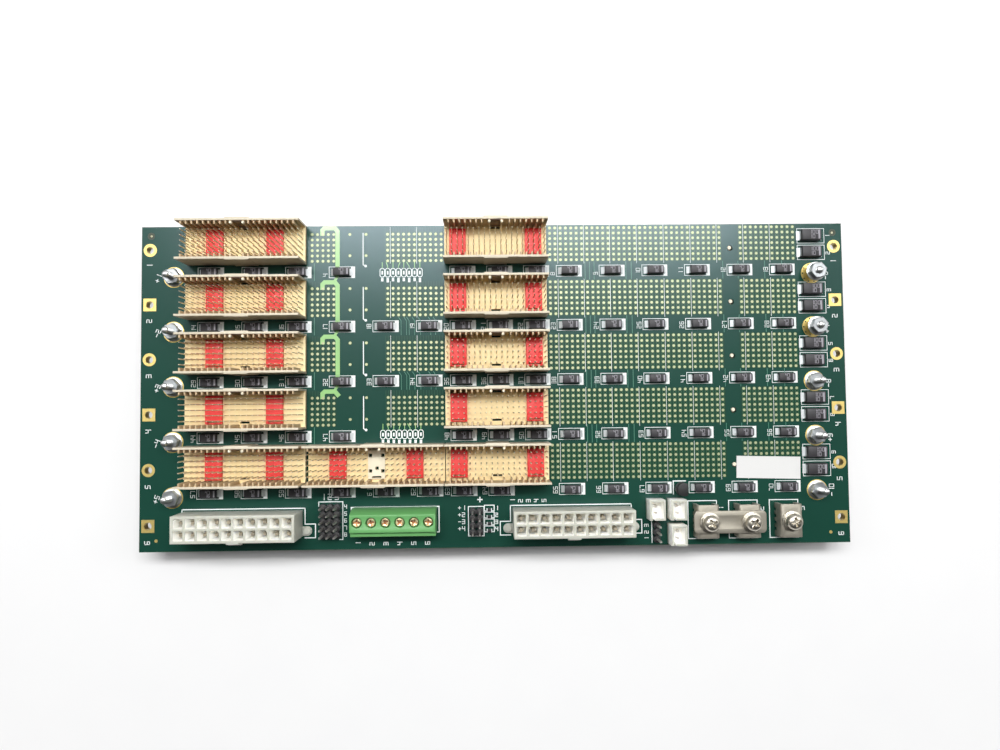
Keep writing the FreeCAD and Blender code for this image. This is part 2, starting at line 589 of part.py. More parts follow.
extrude(wafers, "Pocket", cuts, "Dim.wafer_height - Dim.wafer_floor")
extrude(pins, "Pad", posts, "Dim.wafer_pin_height")

# Power taps: tinned strip folded over into a bridge, with a comb of solder legs down each side.
taps = body_for("power_taps", "Dim.tap_x", "Dim.tap_y")
bridge = sketch_on(taps, "XZ_Plane")
outer, inner = "Dim.tap_length / 2", "(Dim.tap_length / 2 - Dim.tap_sheet)"
under_top = "Dim.tap_height - Dim.tap_sheet"
outline(bridge, [
    (f"-{outer}", "0"),
    (f"-{outer}", "Dim.tap_height"),
    (outer, "Dim.tap_height"),
    (outer, "0"),
    (inner, "0"),
    (inner, under_top),
    (f"-{inner}", under_top),
    (f"-{inner}", "0"),
])
folded = extrude(taps, "Pad", bridge, "Dim.tap_width", SideType="Symmetric")
more_taps = repeat(taps, folded, ("2 * Dim.tap_pitch", "3"))
drill = sketch_on(taps, "XY_Plane", lift="Dim.tap_height")
polygon(drill, "0", "0", "Dim.tap_bore", 8)
repeat(taps, extrude(taps, "Pocket", drill, "Dim.tap_sheet"), ("2 * Dim.tap_pitch", "3"))
comb = sketch_on(taps, "YZ_Plane")
for step in range(int(sheet.get("tap_legs")) - 1):
    gap_y = f"({step} + 1 - Dim.tap_legs / 2) * Dim.tap_leg_pitch"
    rectangle(comb, gap_y, "Dim.tap_leg_height / 2", "Dim.tap_leg_gap", "Dim.tap_leg_height")
gaps = extrude(taps, "Pocket", comb, "Dim.tap_length + 1", SideType="Symmetric")
repeat(taps, gaps, ("2 * Dim.tap_pitch", "3"))

# Link bar: a flat plate with rounded corners, bridging the first two taps.
bar = body_for("link_bar", "Dim.tap_x + Dim.tap_pitch / 2", "Dim.tap_y", f"{REAR_FACE} + Dim.tap_height")
flat = sketch_on(bar, "XY_Plane")
rectangle(flat, "0", "0", "Dim.bar_length", "Dim.bar_width")
for sign in ("-", ""):
    polygon(flat, f"{sign}Dim.tap_pitch / 2", "0", "Dim.bar_bore", 8)
stamped = extrude(bar, "Pad", flat, "Dim.bar_height")
doc.recompute()
nearly_the_end = 0.49 * sheet.get("bar_length")
middle_x = stamped.Shape.CenterOfMass.x
corners = [
    f"Edge{index}"
    for index, edge in enumerate(stamped.Shape.Edges, start=1)
    if edge.BoundBox.ZLength > 1 and abs(edge.CenterOfMass.x - middle_x) > nearly_the_end
]
rounded = bar.newObject("PartDesign::Fillet", "Fillet")
rounded.Base = (stamped, corners)
rounded.setExpression("Radius", "Dim.bar_corner")
bar.Tip = rounded

# Tap screws: pan heads on captive washers; two clamp the link bar, the third its own tap.
tap_screws = body_for("power_tap_screws", "Dim.tap_x", "Dim.tap_y", f"{REAR_FACE} + Dim.tap_height")


def tap_screw(place, seat, run):
    """A screw whose flat washer lies at the seat and whose thread goes down through the tap."""
    over_washer = f"({seat} + Dim.tap_washer_height)"
    stages = (
        (f"{seat} - Dim.tap_thread_reach", "Dim.tap_thread", 8, "Dim.tap_thread_reach"),
        (seat, "Dim.tap_washer", 12, "Dim.tap_washer_height"),
        (over_washer, "Dim.tap_head", 12, "Dim.tap_head_height"),
    )
    for level, bore, sides, height in stages:
        stage = sketch_on(tap_screws, "XY_Plane", lift=level)
        polygon(stage, place, "0", bore, sides)
        step = extrude(tap_screws, "Pad", stage, height)
        if run:
            repeat(tap_screws, step, run)


tap_screw("0", "Dim.bar_height", ("Dim.tap_pitch", "2"))
tap_screw("2 * Dim.tap_pitch", "0", None)

# Sensor: a small black moulding, round behind and flat in front, on three legs.
sensor = body_for("sensor", "Dim.sensor_x", "Dim.sensor_y")
legs = sketch_on(sensor, "XY_Plane")
for step in (-1, 0, 1):
    rectangle(legs, "0", f"{step} * Dim.sensor_leg_pitch", "Dim.sensor_leg", "Dim.sensor_leg")
extrude(sensor, "Pad", legs, "Dim.sensor_leg_height + 0.2")
moulding = sketch_on(sensor, "XY_Plane", lift="Dim.sensor_leg_height")
circle(moulding, "0", "0", "Dim.sensor_bore")
extrude(sensor, "Pad", moulding, "Dim.sensor_height")
face = sketch_on(sensor, "XY_Plane", lift="Dim.sensor_leg_height + Dim.sensor_height")
rectangle(face, "Dim.sensor_flat + Dim.sensor_bore / 2", "0", "Dim.sensor_bore", "2 * Dim.sensor_bore")
extrude(sensor, "Pocket", face, "Dim.sensor_height")

# Chip resistors: four in a column beside the two-by-four pin header.
resistors = body_for("chip_resistors", "Dim.resistor_x", "Dim.resistor_y")
chip = sketch_on(resistors, "XY_Plane")
rectangle(chip, "0", "0", "Dim.resistor_length", "Dim.resistor_width")
chip_pad = extrude(resistors, "Pad", chip, "Dim.resistor_height")
repeat(resistors, chip_pad, across=("3 * Dim.resistor_pitch", "4"))

# Label: a slip of blank paper stuck a little askew over the lowest slot.
label = body_for("paper_label", "Dim.label_x", "Dim.label_y")
label.setExpression("Placement.Rotation.Angle", "Dim.label_turn")
slip = sketch_on(label, "XY_Plane")
rectangle(slip, "0", "0", "Dim.label_length", "Dim.label_width")
extrude(label, "Pad", slip, "Dim.label_height")

doc.recompute()
for item in doc.Objects:
    if "Invalid" in item.State or "Error" in item.State:
        raise RuntimeError(f"{item.Label} did not build: {item.State}")
os.makedirs("parts", exist_ok=True)
for item in sub_parts:
    if item.Shape.isNull() or not item.Shape.isValid() or not item.Shape.Solids:
        raise RuntimeError(f"{item.Label} has no sound solid")
    item.Shape.exportStep(f"parts/{item.Label}.step")
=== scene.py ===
import math
import bmesh
import bpy
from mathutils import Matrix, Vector
from mathutils.geometry import tessellate_polygon


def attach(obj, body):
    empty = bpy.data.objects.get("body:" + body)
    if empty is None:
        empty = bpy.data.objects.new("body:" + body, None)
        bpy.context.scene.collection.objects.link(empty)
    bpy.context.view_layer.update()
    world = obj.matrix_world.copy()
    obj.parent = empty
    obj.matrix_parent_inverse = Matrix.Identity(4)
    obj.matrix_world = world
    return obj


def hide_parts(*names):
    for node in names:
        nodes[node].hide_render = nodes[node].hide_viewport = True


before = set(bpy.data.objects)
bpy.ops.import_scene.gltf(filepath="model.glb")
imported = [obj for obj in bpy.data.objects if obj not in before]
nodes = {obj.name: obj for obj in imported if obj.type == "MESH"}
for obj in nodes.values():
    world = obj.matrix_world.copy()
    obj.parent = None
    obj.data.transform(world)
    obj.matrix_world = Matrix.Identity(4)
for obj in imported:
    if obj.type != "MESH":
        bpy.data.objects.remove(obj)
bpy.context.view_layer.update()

# Stage: a near-white table that fades to white away from the board, and a surround that is white to the
# eye but lights the board mostly from its top edge. A soft panel hangs above that edge, with three
# weaker ones, and the camera looks almost straight down.
MM = 0.001
PANELS = (
    ("key_panel", (0.0, 0.36, 1.0), (0.92, 0.16), 11.4),
    ("top_panel", (0.0, 0.22, 1.2), (0.6, 0.25), 3.6),
    ("left_panel", (-0.9, 0.25, 0.8), (0.4, 0.6), 1.8),
    ("right_panel", (0.9, 0.25, 0.8), (0.4, 0.6), 2.4),
)
for name, place, size, power in PANELS:
    lamp = bpy.data.lights.new(name, "AREA")
    lamp.shape = "RECTANGLE"
    lamp.size, lamp.size_y = size
    lamp.energy = power
    panel = bpy.data.objects.new(name, lamp)
    panel.location = place
    panel.rotation_euler = (Vector((0.0, 0.0, 0.0)) - Vector(place)).to_track_quat("-Z", "Y").to_euler()
    panel.visible_glossy = name != "top_panel"
    bpy.context.scene.collection.objects.link(panel)

lens = bpy.data.cameras.new("camera")
lens.sensor_width = 36.0
lens.lens = 27.036
lens.clip_start = 0.01
camera = bpy.data.objects.new("camera", lens)
camera.location = (-4.81 * MM, -8.19 * MM, 294.9 * MM)
camera.rotation_euler = [math.radians(turn) for turn in (2.4404, -1.2256, -0.6098)]
bpy.context.scene.collection.objects.link(camera)
bpy.context.scene.camera = camera
bpy.context.scene.view_settings.view_transform = "Standard"


class Wire:
    """A value in a shader tree; plain arithmetic on it adds the nodes that work it out."""

    def __init__(self, tree, socket):
        self.tree = tree
        self.socket = socket

    def node(self, kind, inputs, output=0, **settings):
        """Any other node: inputs by name or place, and the output that carries on."""
        item = self.tree.nodes.new(kind)
        for key, value in settings.items():
            setattr(item, key, value)
        for key, value in inputs.items():
            if isinstance(value, Wire):
                self.tree.links.new(value.socket, item.inputs[key])
            else:
                item.inputs[key].default_value = value
        return Wire(self.tree, item.outputs[output])

    def math(self, operation, first, second=0.0):
        return self.node("ShaderNodeMath", {0: first, 1: second}, operation=operation)

    def __add__(self, other):
        return self.math("ADD", self, other)

    def __sub__(self, other):
        return self.math("SUBTRACT", self, other)

    def __rsub__(self, other):
        return self.math("SUBTRACT", other, self)

    def __mul__(self, other):
        return self.math("MULTIPLY", self, other)

    def __abs__(self):
        return self.math("ABSOLUTE", self)

    def __lt__(self, other):
        return self.math("LESS_THAN", self, other)

    def __gt__(self, other):
        return self.math("GREATER_THAN", self, other)

    __radd__ = __add__
    __rmul__ = __mul__

    def blend(self, low, high):
        """A colour between two, this value being the share of the second."""
        low, high = ((*c, 1.0) if isinstance(c, tuple) else c for c in (low, high))
        return self.node("ShaderNodeMix", {0: self, 6: low, 7: high}, 2, data_type="RGBA")

    def noise(self, scale, detail):
        """Noise at this place, scale being its features in a millimetre."""
        return self.node("ShaderNodeTexNoise", {"Vector": self, "Scale": scale / MM, "Detail": detail})

    def axes(self):
        """The three coordinates, in millimetres."""
        return [self.node("ShaderNodeSeparateXYZ", {0: self}, axis) * (1 / MM) for axis in range(3)]


def finish(name, metallic=0.0, **constants):
    """A new material: its shader node, and the place on the object that its patterns read."""
    material = bpy.data.materials.new(name)
    material.use_nodes = True
    shader = material.node_tree.nodes["Principled BSDF"]
    shader.inputs["Metallic"].default_value = metallic
    for key, value in constants.items():
        shader.inputs[key.replace("_", " ")].default_value = value
    coords = material.node_tree.nodes.new("ShaderNodeTexCoord")
    return material, shader, Wire(material.node_tree, coords.outputs["Object"])


def wire_in(shader, colour, roughness, height=None, depth=0.01, strength=0.5):
    """Joins the worked-out colour, roughness and relief (depth in millimetres) to the shader."""
    links = colour.tree.links
    links.new(colour.socket, shader.inputs["Base Color"])
    links.new(roughness.socket, shader.inputs["Roughness"])
    if height:
        inputs = {"Height": height, "Distance": depth * MM, "Strength": strength}
        relief = height.node("ShaderNodeBump", inputs)
        links.new(relief.socket, shader.inputs["Normal"])


def backdrop_rays(tree):
    """One for a ray from the camera, and one for a ray off metal or through something clear."""
    path = tree.nodes.new("ShaderNodeLightPath")
    kinds = ("Camera", "Glossy", "Transmission")
    seen, glossy, clear = (Wire(tree, path.outputs[f"Is {kind} Ray"]) for kind in kinds)
    return seen, glossy + clear


WHITE = (1.0, 1.0, 1.0, 1.0)
MIRRORED_BELOW = 0.1
FADE_START = 0.15
FADE_END = 0.38
world = bpy.data.worlds.new("studio surround")
bpy.context.scene.world = world
world.use_nodes = True
tree = world.node_tree
tree.nodes.clear()
coords = tree.nodes.new("ShaderNodeTexCoord")
toward = Wire(tree, coords.outputs["Generated"])
back, height = (toward.node("ShaderNodeSeparateXYZ", {0: toward}, axis) for axis in (1, 2))
seen, mirrored = backdrop_rays(tree)
dome_range = {
    "Value": height * 0.4 + back,
    "From Min": 0.1,
    "From Max": 1.1,
    "To Min": 0.03,
    "To Max": 0.50,
}
dome = height.node("ShaderNodeMapRange", dome_range)
white_share = seen.math("MINIMUM", seen + mirrored * (height < MIRRORED_BELOW), 1.0)
strength = white_share + (1.0 - white_share) * dome
glow = seen.node("ShaderNodeBackground", {"Color": WHITE, "Strength": strength})
out = tree.nodes.new("ShaderNodeOutputWorld")
tree.links.new(glow.socket, out.inputs["Surface"])

table, shader, place = finish("table")
speck = place.noise(0.05, 4.0)
wire_in(shader, speck.blend((0.74, 0.74, 0.745), (0.76, 0.76, 0.76)), 0.55 + speck * 0.1)
tree = table.node_tree
seen, mirrored = backdrop_rays(tree)
reach = place.node("ShaderNodeVectorMath", {0: place}, "Value", operation="LENGTH")
fade = {"Value": reach, "From Min": FADE_START, "From Max": FADE_END}
far = reach.node("ShaderNodeMapRange", fade, interpolation_type="SMOOTHSTEP")
glow = place.node("ShaderNodeEmission", {"Color": WHITE, "Strength": 1.0})
white_share = far * seen.math("MINIMUM", seen + mirrored, 1.0)
surface = far.node("ShaderNodeMixShader", {0: white_share, 1: Wire(tree, shader.outputs[0]), 2: glow})
tree.links.new(surface.socket, tree.nodes["Material Output"].inputs["Surface"])
bpy.ops.mesh.primitive_plane_add(size=6.0)
floor = bpy.context.object
floor.name = "floor"
floor.data.materials.append(table)


# Circuit board: thick glass laminate under glossy green mask, with plated fixing holes.
# The mask is printed over etched copper, so pours and tracks stand out faintly in it.
BOARD_TOP = 15.9
BOARD_FRONT = 12.7
PITCH = 20.32
SLOTS = [52.69 - PITCH * step for step in range(5)]
FIXING_X = 127.925
FIXING_MIDDLE = 0.35
BARREL_RADIUS = 1.43
FIELD_HALF = 6.6
COOL_SHEEN = (0.86, 1.0, 1.12, 1.0)
mask, shader, place = finish("board mask and laminate", Specular_IOR_Level=0.42, Specular_Tint=COOL_SHEEN)
x, y, z = place.axes()
cloud = place.noise(0.03, 3.0)
grain = place.noise(3.0, 2.0)
column = abs(x.math("PINGPONG", x - 19.45, 1.0) - 0.5)
row = abs(y.math("PINGPONG", y - SLOTS[2] + PITCH * 10, PITCH / 2))
in_gap = (x > 85.6) * (x < 91.3)
in_field = (x > 19.3) * (x < 113.4) * (row < FIELD_HALF) * (1.0 - in_gap) * (y > -36.0)
left_columns = x.math("MAXIMUM", abs(x + 64.2) < 5.0, abs(x + 30.2) < 11.0)
in_left_field = left_columns * (row < FIELD_HALF) * (y > -16.0)
lane = (column < 0.14) * in_field + (column < 0.10) * in_left_field * 0.5
weave = x.math("SINE", x * 9.0) * y.math("SINE", y * 9.0)
green = cloud.blend((0.005, 0.040, 0.026), (0.008, 0.052, 0.034))
green = (in_field * 0.55 + in_left_field * 0.35).blend(green, (0.017, 0.043, 0.022))
green = (lane * 0.6).blend(green, (0.040, 0.130, 0.062))
layers = z.math("SINE", z * 12.0) * 0.5 + 0.5
laminate = (layers * 0.6).blend((0.20, 0.19, 0.09), (0.09, 0.07, 0.03))
edge = x.math("MAXIMUM", abs(x) > 131.0, abs(y) > 59.82)
hole_row = y.math("PINGPONG", y - FIXING_MIDDLE + PITCH * 10.5, PITCH / 2)
hole_side = abs(x) - FIXING_X
barrel = (hole_side * hole_side + hole_row * hole_row) < BARREL_RADIUS ** 2
colour = barrel.blend(edge.blend(green, laminate), (0.75, 0.52, 0.20))
shine = 0.23 + grain * 0.03 + edge * 0.36
wire_in(shader, colour, shine, lane * 0.6 + weave * 0.08 + grain * 0.05)
colour.tree.links.new(barrel.socket, shader.inputs["Metallic"])
nodes["circuit_board"].data.materials[0] = mask


# Plated pads: gold-flashed rings or squares round the fixing holes on both faces, and bare laminate rings
# round the two tooling holes. Where a connector has no rear shroud, the ends of its front contacts show
# in small plated rings. Pads and rings are etched copper, hardly raised.
def arc(x, y, radius, sides, start=0.0, turn=360.0):
    """Points round a circle, in millimetres."""
    steps = [math.radians(start + turn * step / sides) for step in range(sides)]
    return [(x + radius * math.cos(step), y + radius * math.sin(step)) for step in steps]


def rect(x, y, length, width):
    """The corners of a rectangle about its middle."""
    a, b = length / 2, width / 2
    return [(x - a, y - b), (x + a, y - b), (x + a, y + b), (x - a, y + b)]


def above(height):
    """The level at this height over the board's rear face."""
    return BOARD_TOP + height


def plate(bm, loops, low, high, axis=2):
    """A plate between two levels along an axis, from an outline and the holes in it."""
    order = ((2, 0, 1), (0, 2, 1), (0, 1, 2))[axis]
    sides = []
    for level in (low, high):
        points = [(across, up, level) for loop in loops for across, up in loop]
        sides.append([bm.verts.new([point[index] * MM for index in order]) for point in points])
    bottom, top = sides
    if len(loops) == 1:
        caps = [range(len(top))]
    else:
        caps = tessellate_polygon([[Vector((*point, 0.0)) for point in loop] for loop in loops])
    faces = [bm.faces.new([side[index] for index in cap]) for side in sides for cap in caps]
    start = 0
    for loop in loops:
        ring = range(start, start + len(loop))
        for a, b in zip(ring, [*ring[1:], start]):
            faces.append(bm.faces.new((bottom[a], bottom[b], top[b], top[a])))
        start += len(loop)
    bmesh.ops.recalc_face_normals(bm, faces=faces)


def applied(mesh, kind, inputs=None, **settings):
    """The plain mesh that a modifier makes of this one."""
    holder = bpy.data.objects.new("holder", mesh)
    bpy.context.scene.collection.objects.link(holder)
    modifier = holder.modifiers.new(kind, kind)
    for key, value in settings.items():
        setattr(modifier, key, value)
    for item in modifier.node_group.interface.items_tree if inputs else ():
        if item.in_out == "INPUT" and item.name in inputs:
            modifier[item.identifier] = inputs[item.name]
    bpy.context.view_layer.update()
    graph = bpy.context.evaluated_depsgraph_get()
    plain = bpy.data.meshes.new_from_object(holder.evaluated_get(graph))
    bpy.data.objects.remove(holder)
    return plain


def softened(mesh, radius):
    """The mesh with its edges broken by a small radius in millimetres, shaded smooth where it is round."""
    if radius:
        mesh = applied(mesh, "BEVEL", width=radius * MM, segments=2, limit_method="ANGLE", angle_limit=0.7)
    mesh.polygons.foreach_set("use_smooth", [True] * len(mesh.polygons))
    mesh.set_sharp_from_angle(angle=math.radians(32.0))
    return mesh


def mesh_of(bm, material, radius=0.0):
    """A softened mesh from the modelled faces."""
    mesh = bpy.data.meshes.new("piece")
    bm.to_mesh(mesh)
    bm.free()
    mesh.materials.append(material)
    return softened(mesh, radius)


def slab(loops, low, high, material, radius=0.0, axis=2):
    """The mesh of a single plate."""
    bm = bmesh.new()
    plate(bm, loops, low, high, axis)
    return mesh_of(bm, material, radius)


def put(name, meshes, slot, *stands_for):
    """A finished piece on the board, from meshes of one material."""
    bm = bmesh.new()
    for mesh in meshes:
        bm.from_mesh(mesh)
    joined = bpy.data.meshes.new(name)
    bm.to_mesh(joined)
    bm.free()
    joined.materials.append(meshes[0].materials[0])
    piece = bpy.data.objects.new(name, joined)
    bpy.context.scene.collection.objects.link(piece)
    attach(piece, "root")
    if stands_for:
        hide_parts(*stands_for)


def rows_group():
    """Geometry nodes that repeat one piece along columns, rows and slots."""
    group = bpy.data.node_groups.new("rows of one piece", "GeometryNodeTree")
    runs = ("Columns", "Rows", "Slots")
    group.interface.new_socket("Geometry", in_out="INPUT", socket_type="NodeSocketGeometry")
    for run in runs:
        group.interface.new_socket(run, in_out="INPUT", socket_type="NodeSocketInt")
        group.interface.new_socket(f"{run} step", in_out="INPUT", socket_type="NodeSocketVector")
    group.interface.new_socket("Finish", in_out="INPUT", socket_type="NodeSocketMaterial")
    group.interface.new_socket("Geometry", in_out="OUTPUT", socket_type="NodeSocketGeometry")
    source = group.nodes.new("NodeGroupInput")
    current = source.outputs["Geometry"]
    for run in runs:
        line = group.nodes.new("GeometryNodeMeshLine")
        group.links.new(source.outputs[run], line.inputs["Count"])
        group.links.new(source.outputs[f"{run} step"], line.inputs["Offset"])
        copies = group.nodes.new("GeometryNodeInstanceOnPoints")
        group.links.new(line.outputs["Mesh"], copies.inputs["Points"])
        group.links.new(current, copies.inputs["Instance"])
        current = copies.outputs["Instances"]
    real = group.nodes.new("GeometryNodeRealizeInstances")
    paint = group.nodes.new("GeometryNodeSetMaterial")
    target = group.nodes.new("NodeGroupOutput")
    group.links.new(current, real.inputs["Geometry"])
    group.links.new(real.outputs["Geometry"], paint.inputs["Geometry"])
    group.links.new(source.outputs["Finish"], paint.inputs["Material"])
    group.links.new(paint.outputs["Geometry"], target.inputs["Geometry"])
    return group


ROWS = rows_group()


def rows(mesh, columns=(1, 0.0), up=(1, 0.0), slots=1):
    """The mesh repeated: columns along X, rows up Y, then slots on the slot pitch downwards."""
    inputs = {
        "Columns": columns[0],
        "Columns step": (columns[1] * MM, 0.0, 0.0),
        "Rows": up[0],
        "Rows step": (0.0, up[1] * MM, 0.0),
        "Slots": slots,
        "Slots step": (0.0, -PITCH * MM, 0.0),
        "Finish": mesh.materials[0],
    }
    return applied(mesh, "NODES", inputs, node_group=ROWS)


def metal(name, colour, worn, roughness):
    """Plated metal: two tones in fine noise, with faint marks in its roughness."""
    material, shader, place = finish(name, metallic=1.0)
    tone = place.noise(1.5, 4.0)
    fine = place.noise(6.0, 3.0)
    wire_in(shader, tone.blend(colour, worn), roughness + fine * 0.18, fine * 0.6 + tone, 0.01, 0.35)
    return material


COPPER = 0.03
FILM = 0.02
TOOLING_X = 127.6
TOOLING_Y = 56.4
gold = metal("gold flash", (0.82, 0.66, 0.25), (0.70, 0.52, 0.17), 0.36)
pads = []
for level in (BOARD_TOP, BOARD_FRONT - COPPER):
    for side in (-FIXING_X, FIXING_X):
        for index in range(6):
            up = FIXING_MIDDLE + PITCH * (2.5 - index)
            shape = arc(side, up, 2.4, 40) if index % 2 == 0 else rect(side, up, 4.7, 4.7)
            pads.append(slab([shape, arc(side, up, 1.38, 40)], level, level + COPPER, gold))
put("fixing_hole_pads", pads, "board")

bare, shader, place = finish("bare laminate")
fibre = place.noise(2.0, 3.0)
wire_in(shader, fibre.blend((0.030, 0.045, 0.030), (0.050, 0.060, 0.035)), 0.45 + fibre * 0.2, fibre)
rings = []
for side in (-TOOLING_X, TOOLING_X):
    loops = [arc(side, TOOLING_Y, radius, 32) for radius in (1.35, 0.6)]
    rings.append(slab(loops, BOARD_TOP, above(FILM), bare))
put("tooling_hole_rings", rings, "board")
bm = bmesh.new()
for side, up in ((-124.9, -55.8), (123.8, -56.0)):
    plate(bm, [arc(side, up, 0.6, 20)], BOARD_TOP, above(COPPER))
put("aiming_dots", [mesh_of(bm, gold)], "board")

GRID = 2.0
END_RADIUS = 0.31
pin_ends = metal("tinned contact end", (0.48, 0.48, 0.36), (0.41, 0.40, 0.27), 0.46)
ring = metal("plated contact ring", (0.44, 0.48, 0.27), (0.32, 0.37, 0.18), 0.40)
FIELDS = (
    (20.45, SLOTS[0] - 6, 22, 7, 5),
    (64.45, SLOTS[0] - 6, 11, 7, 5),
    (92.45, SLOTS[0] - 6, 11, 7, 5),
    (-40.2, SLOTS[0] - 6, 11, 6, 4),
    (-68.2, SLOTS[0] - 6, 5, 6, 4),
    (-54.2, SLOTS[0] - 4, 1, 1, 4),
    (-54.2, SLOTS[0] + 4, 1, 1, 4),
    (-48.2, SLOTS[0] - 4, 1, 1, 4),
    (-48.2, SLOTS[0] + 4, 1, 1, 4),
)
collars, tails = [], []
for left, low, columns, up, slots in FIELDS:
    spread = (columns, GRID), (up, GRID), slots
    loops = [arc(left, low, radius, 10) for radius in (0.54, END_RADIUS)]
    collars.append(rows(slab(loops, BOARD_TOP, above(COPPER), ring), *spread))
    end = arc(left, low, END_RADIUS, 8, 22.5)
    tails.append(rows(slab([end], BOARD_TOP, above(0.09), pin_ends), *spread))
put("contact_rings", collars, "board")
# Painted light: a pale tinned plug just under the face of each tooling hole stands in for the light seen
# through the hole.
for side in (-TOOLING_X, TOOLING_X):
    tails.append(slab([arc(side, TOOLING_Y, 0.42, 16)], above(-1.0), above(-0.1), pin_ends))
put("contact_ends", tails, "tinned_pin")


# Tracks: wide copper bus and fine tracks between the slots, seen pale green through the mask.
# They are etched copper, raised by its thickness only.
def stroke(bm, points, width, level=BOARD_TOP, thick=FILM):
    """A flat line of some width through points on the board, mitred at its bends."""
    closed = points[0] == points[-1]
    spine = points[:-1] if closed else points
    count = len(spine)
    sides = [], []
    for index, (x, y) in enumerate(spine):
        before = spine[index - 1] if index or closed else None
        after = spine[(index + 1) % count] if index < count - 1 or closed else None
        runs = [Vector((x, y)) - Vector(before)] if before else []
        runs += [Vector(after) - Vector((x, y))] if after else []
        ahead = sum((run.normalized() for run in runs), Vector((0.0, 0.0))).normalized()
        out = width / 2 / max(0.4, ahead.dot(runs[0].normalized()))
        end = 0.0 if before and after else width / 2 * (1 if before else -1)
        for line, aside in zip(sides, (out, -out)):
            line.append((x + ahead.x * end - ahead.y * aside, y + ahead.y * end + ahead.x * aside))
    if closed:
        plate(bm, sides, level, level + thick)
    else:
        plate(bm, [sides[0] + sides[1][::-1]], level, level + thick)


def masked_copper(name, dull, bright):
    """Copper seen through the glossy mask."""
    material, shader, place = finish(name, Coat_Weight=0.3, Coat_Roughness=0.1)
    tint = place.noise(0.4, 3.0)
    wire_in(shader, tint.blend(dull, bright), 0.26 + tint * 0.1, tint)
    return material


BUS = [(-64.4, 4.4), (-64.4, 5.6), (-63.6, 6.4), (-59.8, 6.4), (-58.8, 5.2), (-58.8, -8.4)]
BRANCH = [(-60.2, 6.4), (-58.9, 8.4)]
RESISTOR_ROWS = (42.2, -18.0)
RESISTOR_PLACES = [-42.2 + GRID * step for step in range(8)]
LEAN = (0.0, -0.5, 0.0, 0.6, 0.0, -0.9, 0.0, 0.0)
track = masked_copper("copper under mask", (0.22, 0.44, 0.15), (0.28, 0.52, 0.19))
bm = bmesh.new()
for index, slot in enumerate(SLOTS[:4]):
    route = BUS if index < 3 else BUS[:-1]
    stroke(bm, [(across, slot + rise) for across, rise in route], 1.6)
    if index:
        stroke(bm, [(across, slot + rise) for across, rise in BRANCH], 1.0, thick=COPPER)
for up in RESISTOR_ROWS:
    for across, lean in zip(RESISTOR_PLACES, LEAN):
        stroke(bm, [(across, up + 1.6), (across, up + 2.4), (across + lean, up + 3.9)], 0.24)
put("bus_tracks", [mesh_of(bm, track)], "board")

fine = masked_copper("fine track under mask", (0.030, 0.150, 0.100), (0.045, 0.190, 0.120))
bm = bmesh.new()
for index, slot in enumerate(SLOTS[:4]):
    for across in (33.6, 35.3, 37.0, 49.0, 51.0, 91.4, 101.5, 108.0, 85.6):
        stroke(bm, [(across, slot - 6.9), (across, slot - 13.4)], 0.22)
    for across in (-36.2, -34.2, -33.2, -31.2, -29.0, -25.2, -23.4):
        if index not in (0, 3):
            stroke(bm, [(across, slot - 6.9), (across + 0.9, slot - 8.2), (across + 0.9, slot - 13.4)], 0.2)
    stroke(bm, [(-67.4, slot - 6.9), (-67.4, slot - 13.2)], 0.25)
put("fine_tracks", [mesh_of(bm, fine)], "board")


# Printing: white legend lines, component boxes and plain numbers. It is ink, screened onto the mask, so
# it is as thin as the tracks.
SEGMENTS = {
    "a": ((0.0, 1.0), (0.6, 1.0)),
    "b": ((0.6, 1.0), (0.6, 0.5)),
    "c": ((0.6, 0.5), (0.6, 0.0)),
    "d": ((0.0, 0.0), (0.6, 0.0)),
    "e": ((0.0, 0.0), (0.0, 0.5)),
    "f": ((0.0, 0.5), (0.0, 1.0)),
    "g": ((0.0, 0.5), (0.6, 0.5)),
    "p": ((0.3, 0.2), (0.3, 0.8)),
}
STROKES = "abcdef bc abged abgcd fgbc afgcd afgedc abc abcdefg abcdfg g gp"
NUMERALS = dict(zip("0123456789-+", STROKES.split()))


def number(bm, text, x, y, height, turn=0.0, level=BOARD_TOP, width=0.28):
    """A plain number or sign in straight strokes, from its lower left corner."""
    across, up = math.cos(math.radians(turn)), math.sin(math.radians(turn))
    for step, sign in enumerate(text):
        for key in NUMERALS[sign]:
            ends = [((a + step * 0.95) * height, b * height) for a, b in SEGMENTS[key]]
            stroke(bm, [(x + a * across - b * up, y + a * up + b * across) for a, b in ends], width, level)


def frame_line(bm, x0, y0, x1, y1, width):
    """A printed rectangle."""
    stroke(bm, [(x0, y0), (x1, y0), (x1, y1), (x0, y1), (x0, y0)], width)


LEFT_STEP = 16.13
MIDDLE_STEP = 13.8
RIGHT_STEP = 16.1
CHIP_ROWS = [slot - 10.2 for slot in SLOTS]
CHIP_LEFT = [-105.5 + LEFT_STEP * step for step in range(6)]
CHIP_MIDDLE = [-12.3 + MIDDLE_STEP * step for step in range(3)]
CHIP_RIGHT = [27.6 + RIGHT_STEP * step for step in range(6)]
LARGE_DROPS = (2.5, -3.8)
SUPPLY_MIDDLES = {"left": -93.2, "right": 27.0}
HEADER_STEP = 2.54
POLE_STEP = 5.08
TAP_STEP = 15.24
TAPS = [76.4 + TAP_STEP * step for step in range(3)]
legend, shader, place = finish("printed legend")
ink = place.noise(1.2, 3.0)
wire_in(shader, ink.blend((0.70, 0.74, 0.73), (0.86, 0.90, 0.89)), 0.45 + ink * 0.2, ink, 0.008)
bm = bmesh.new()
count = 0
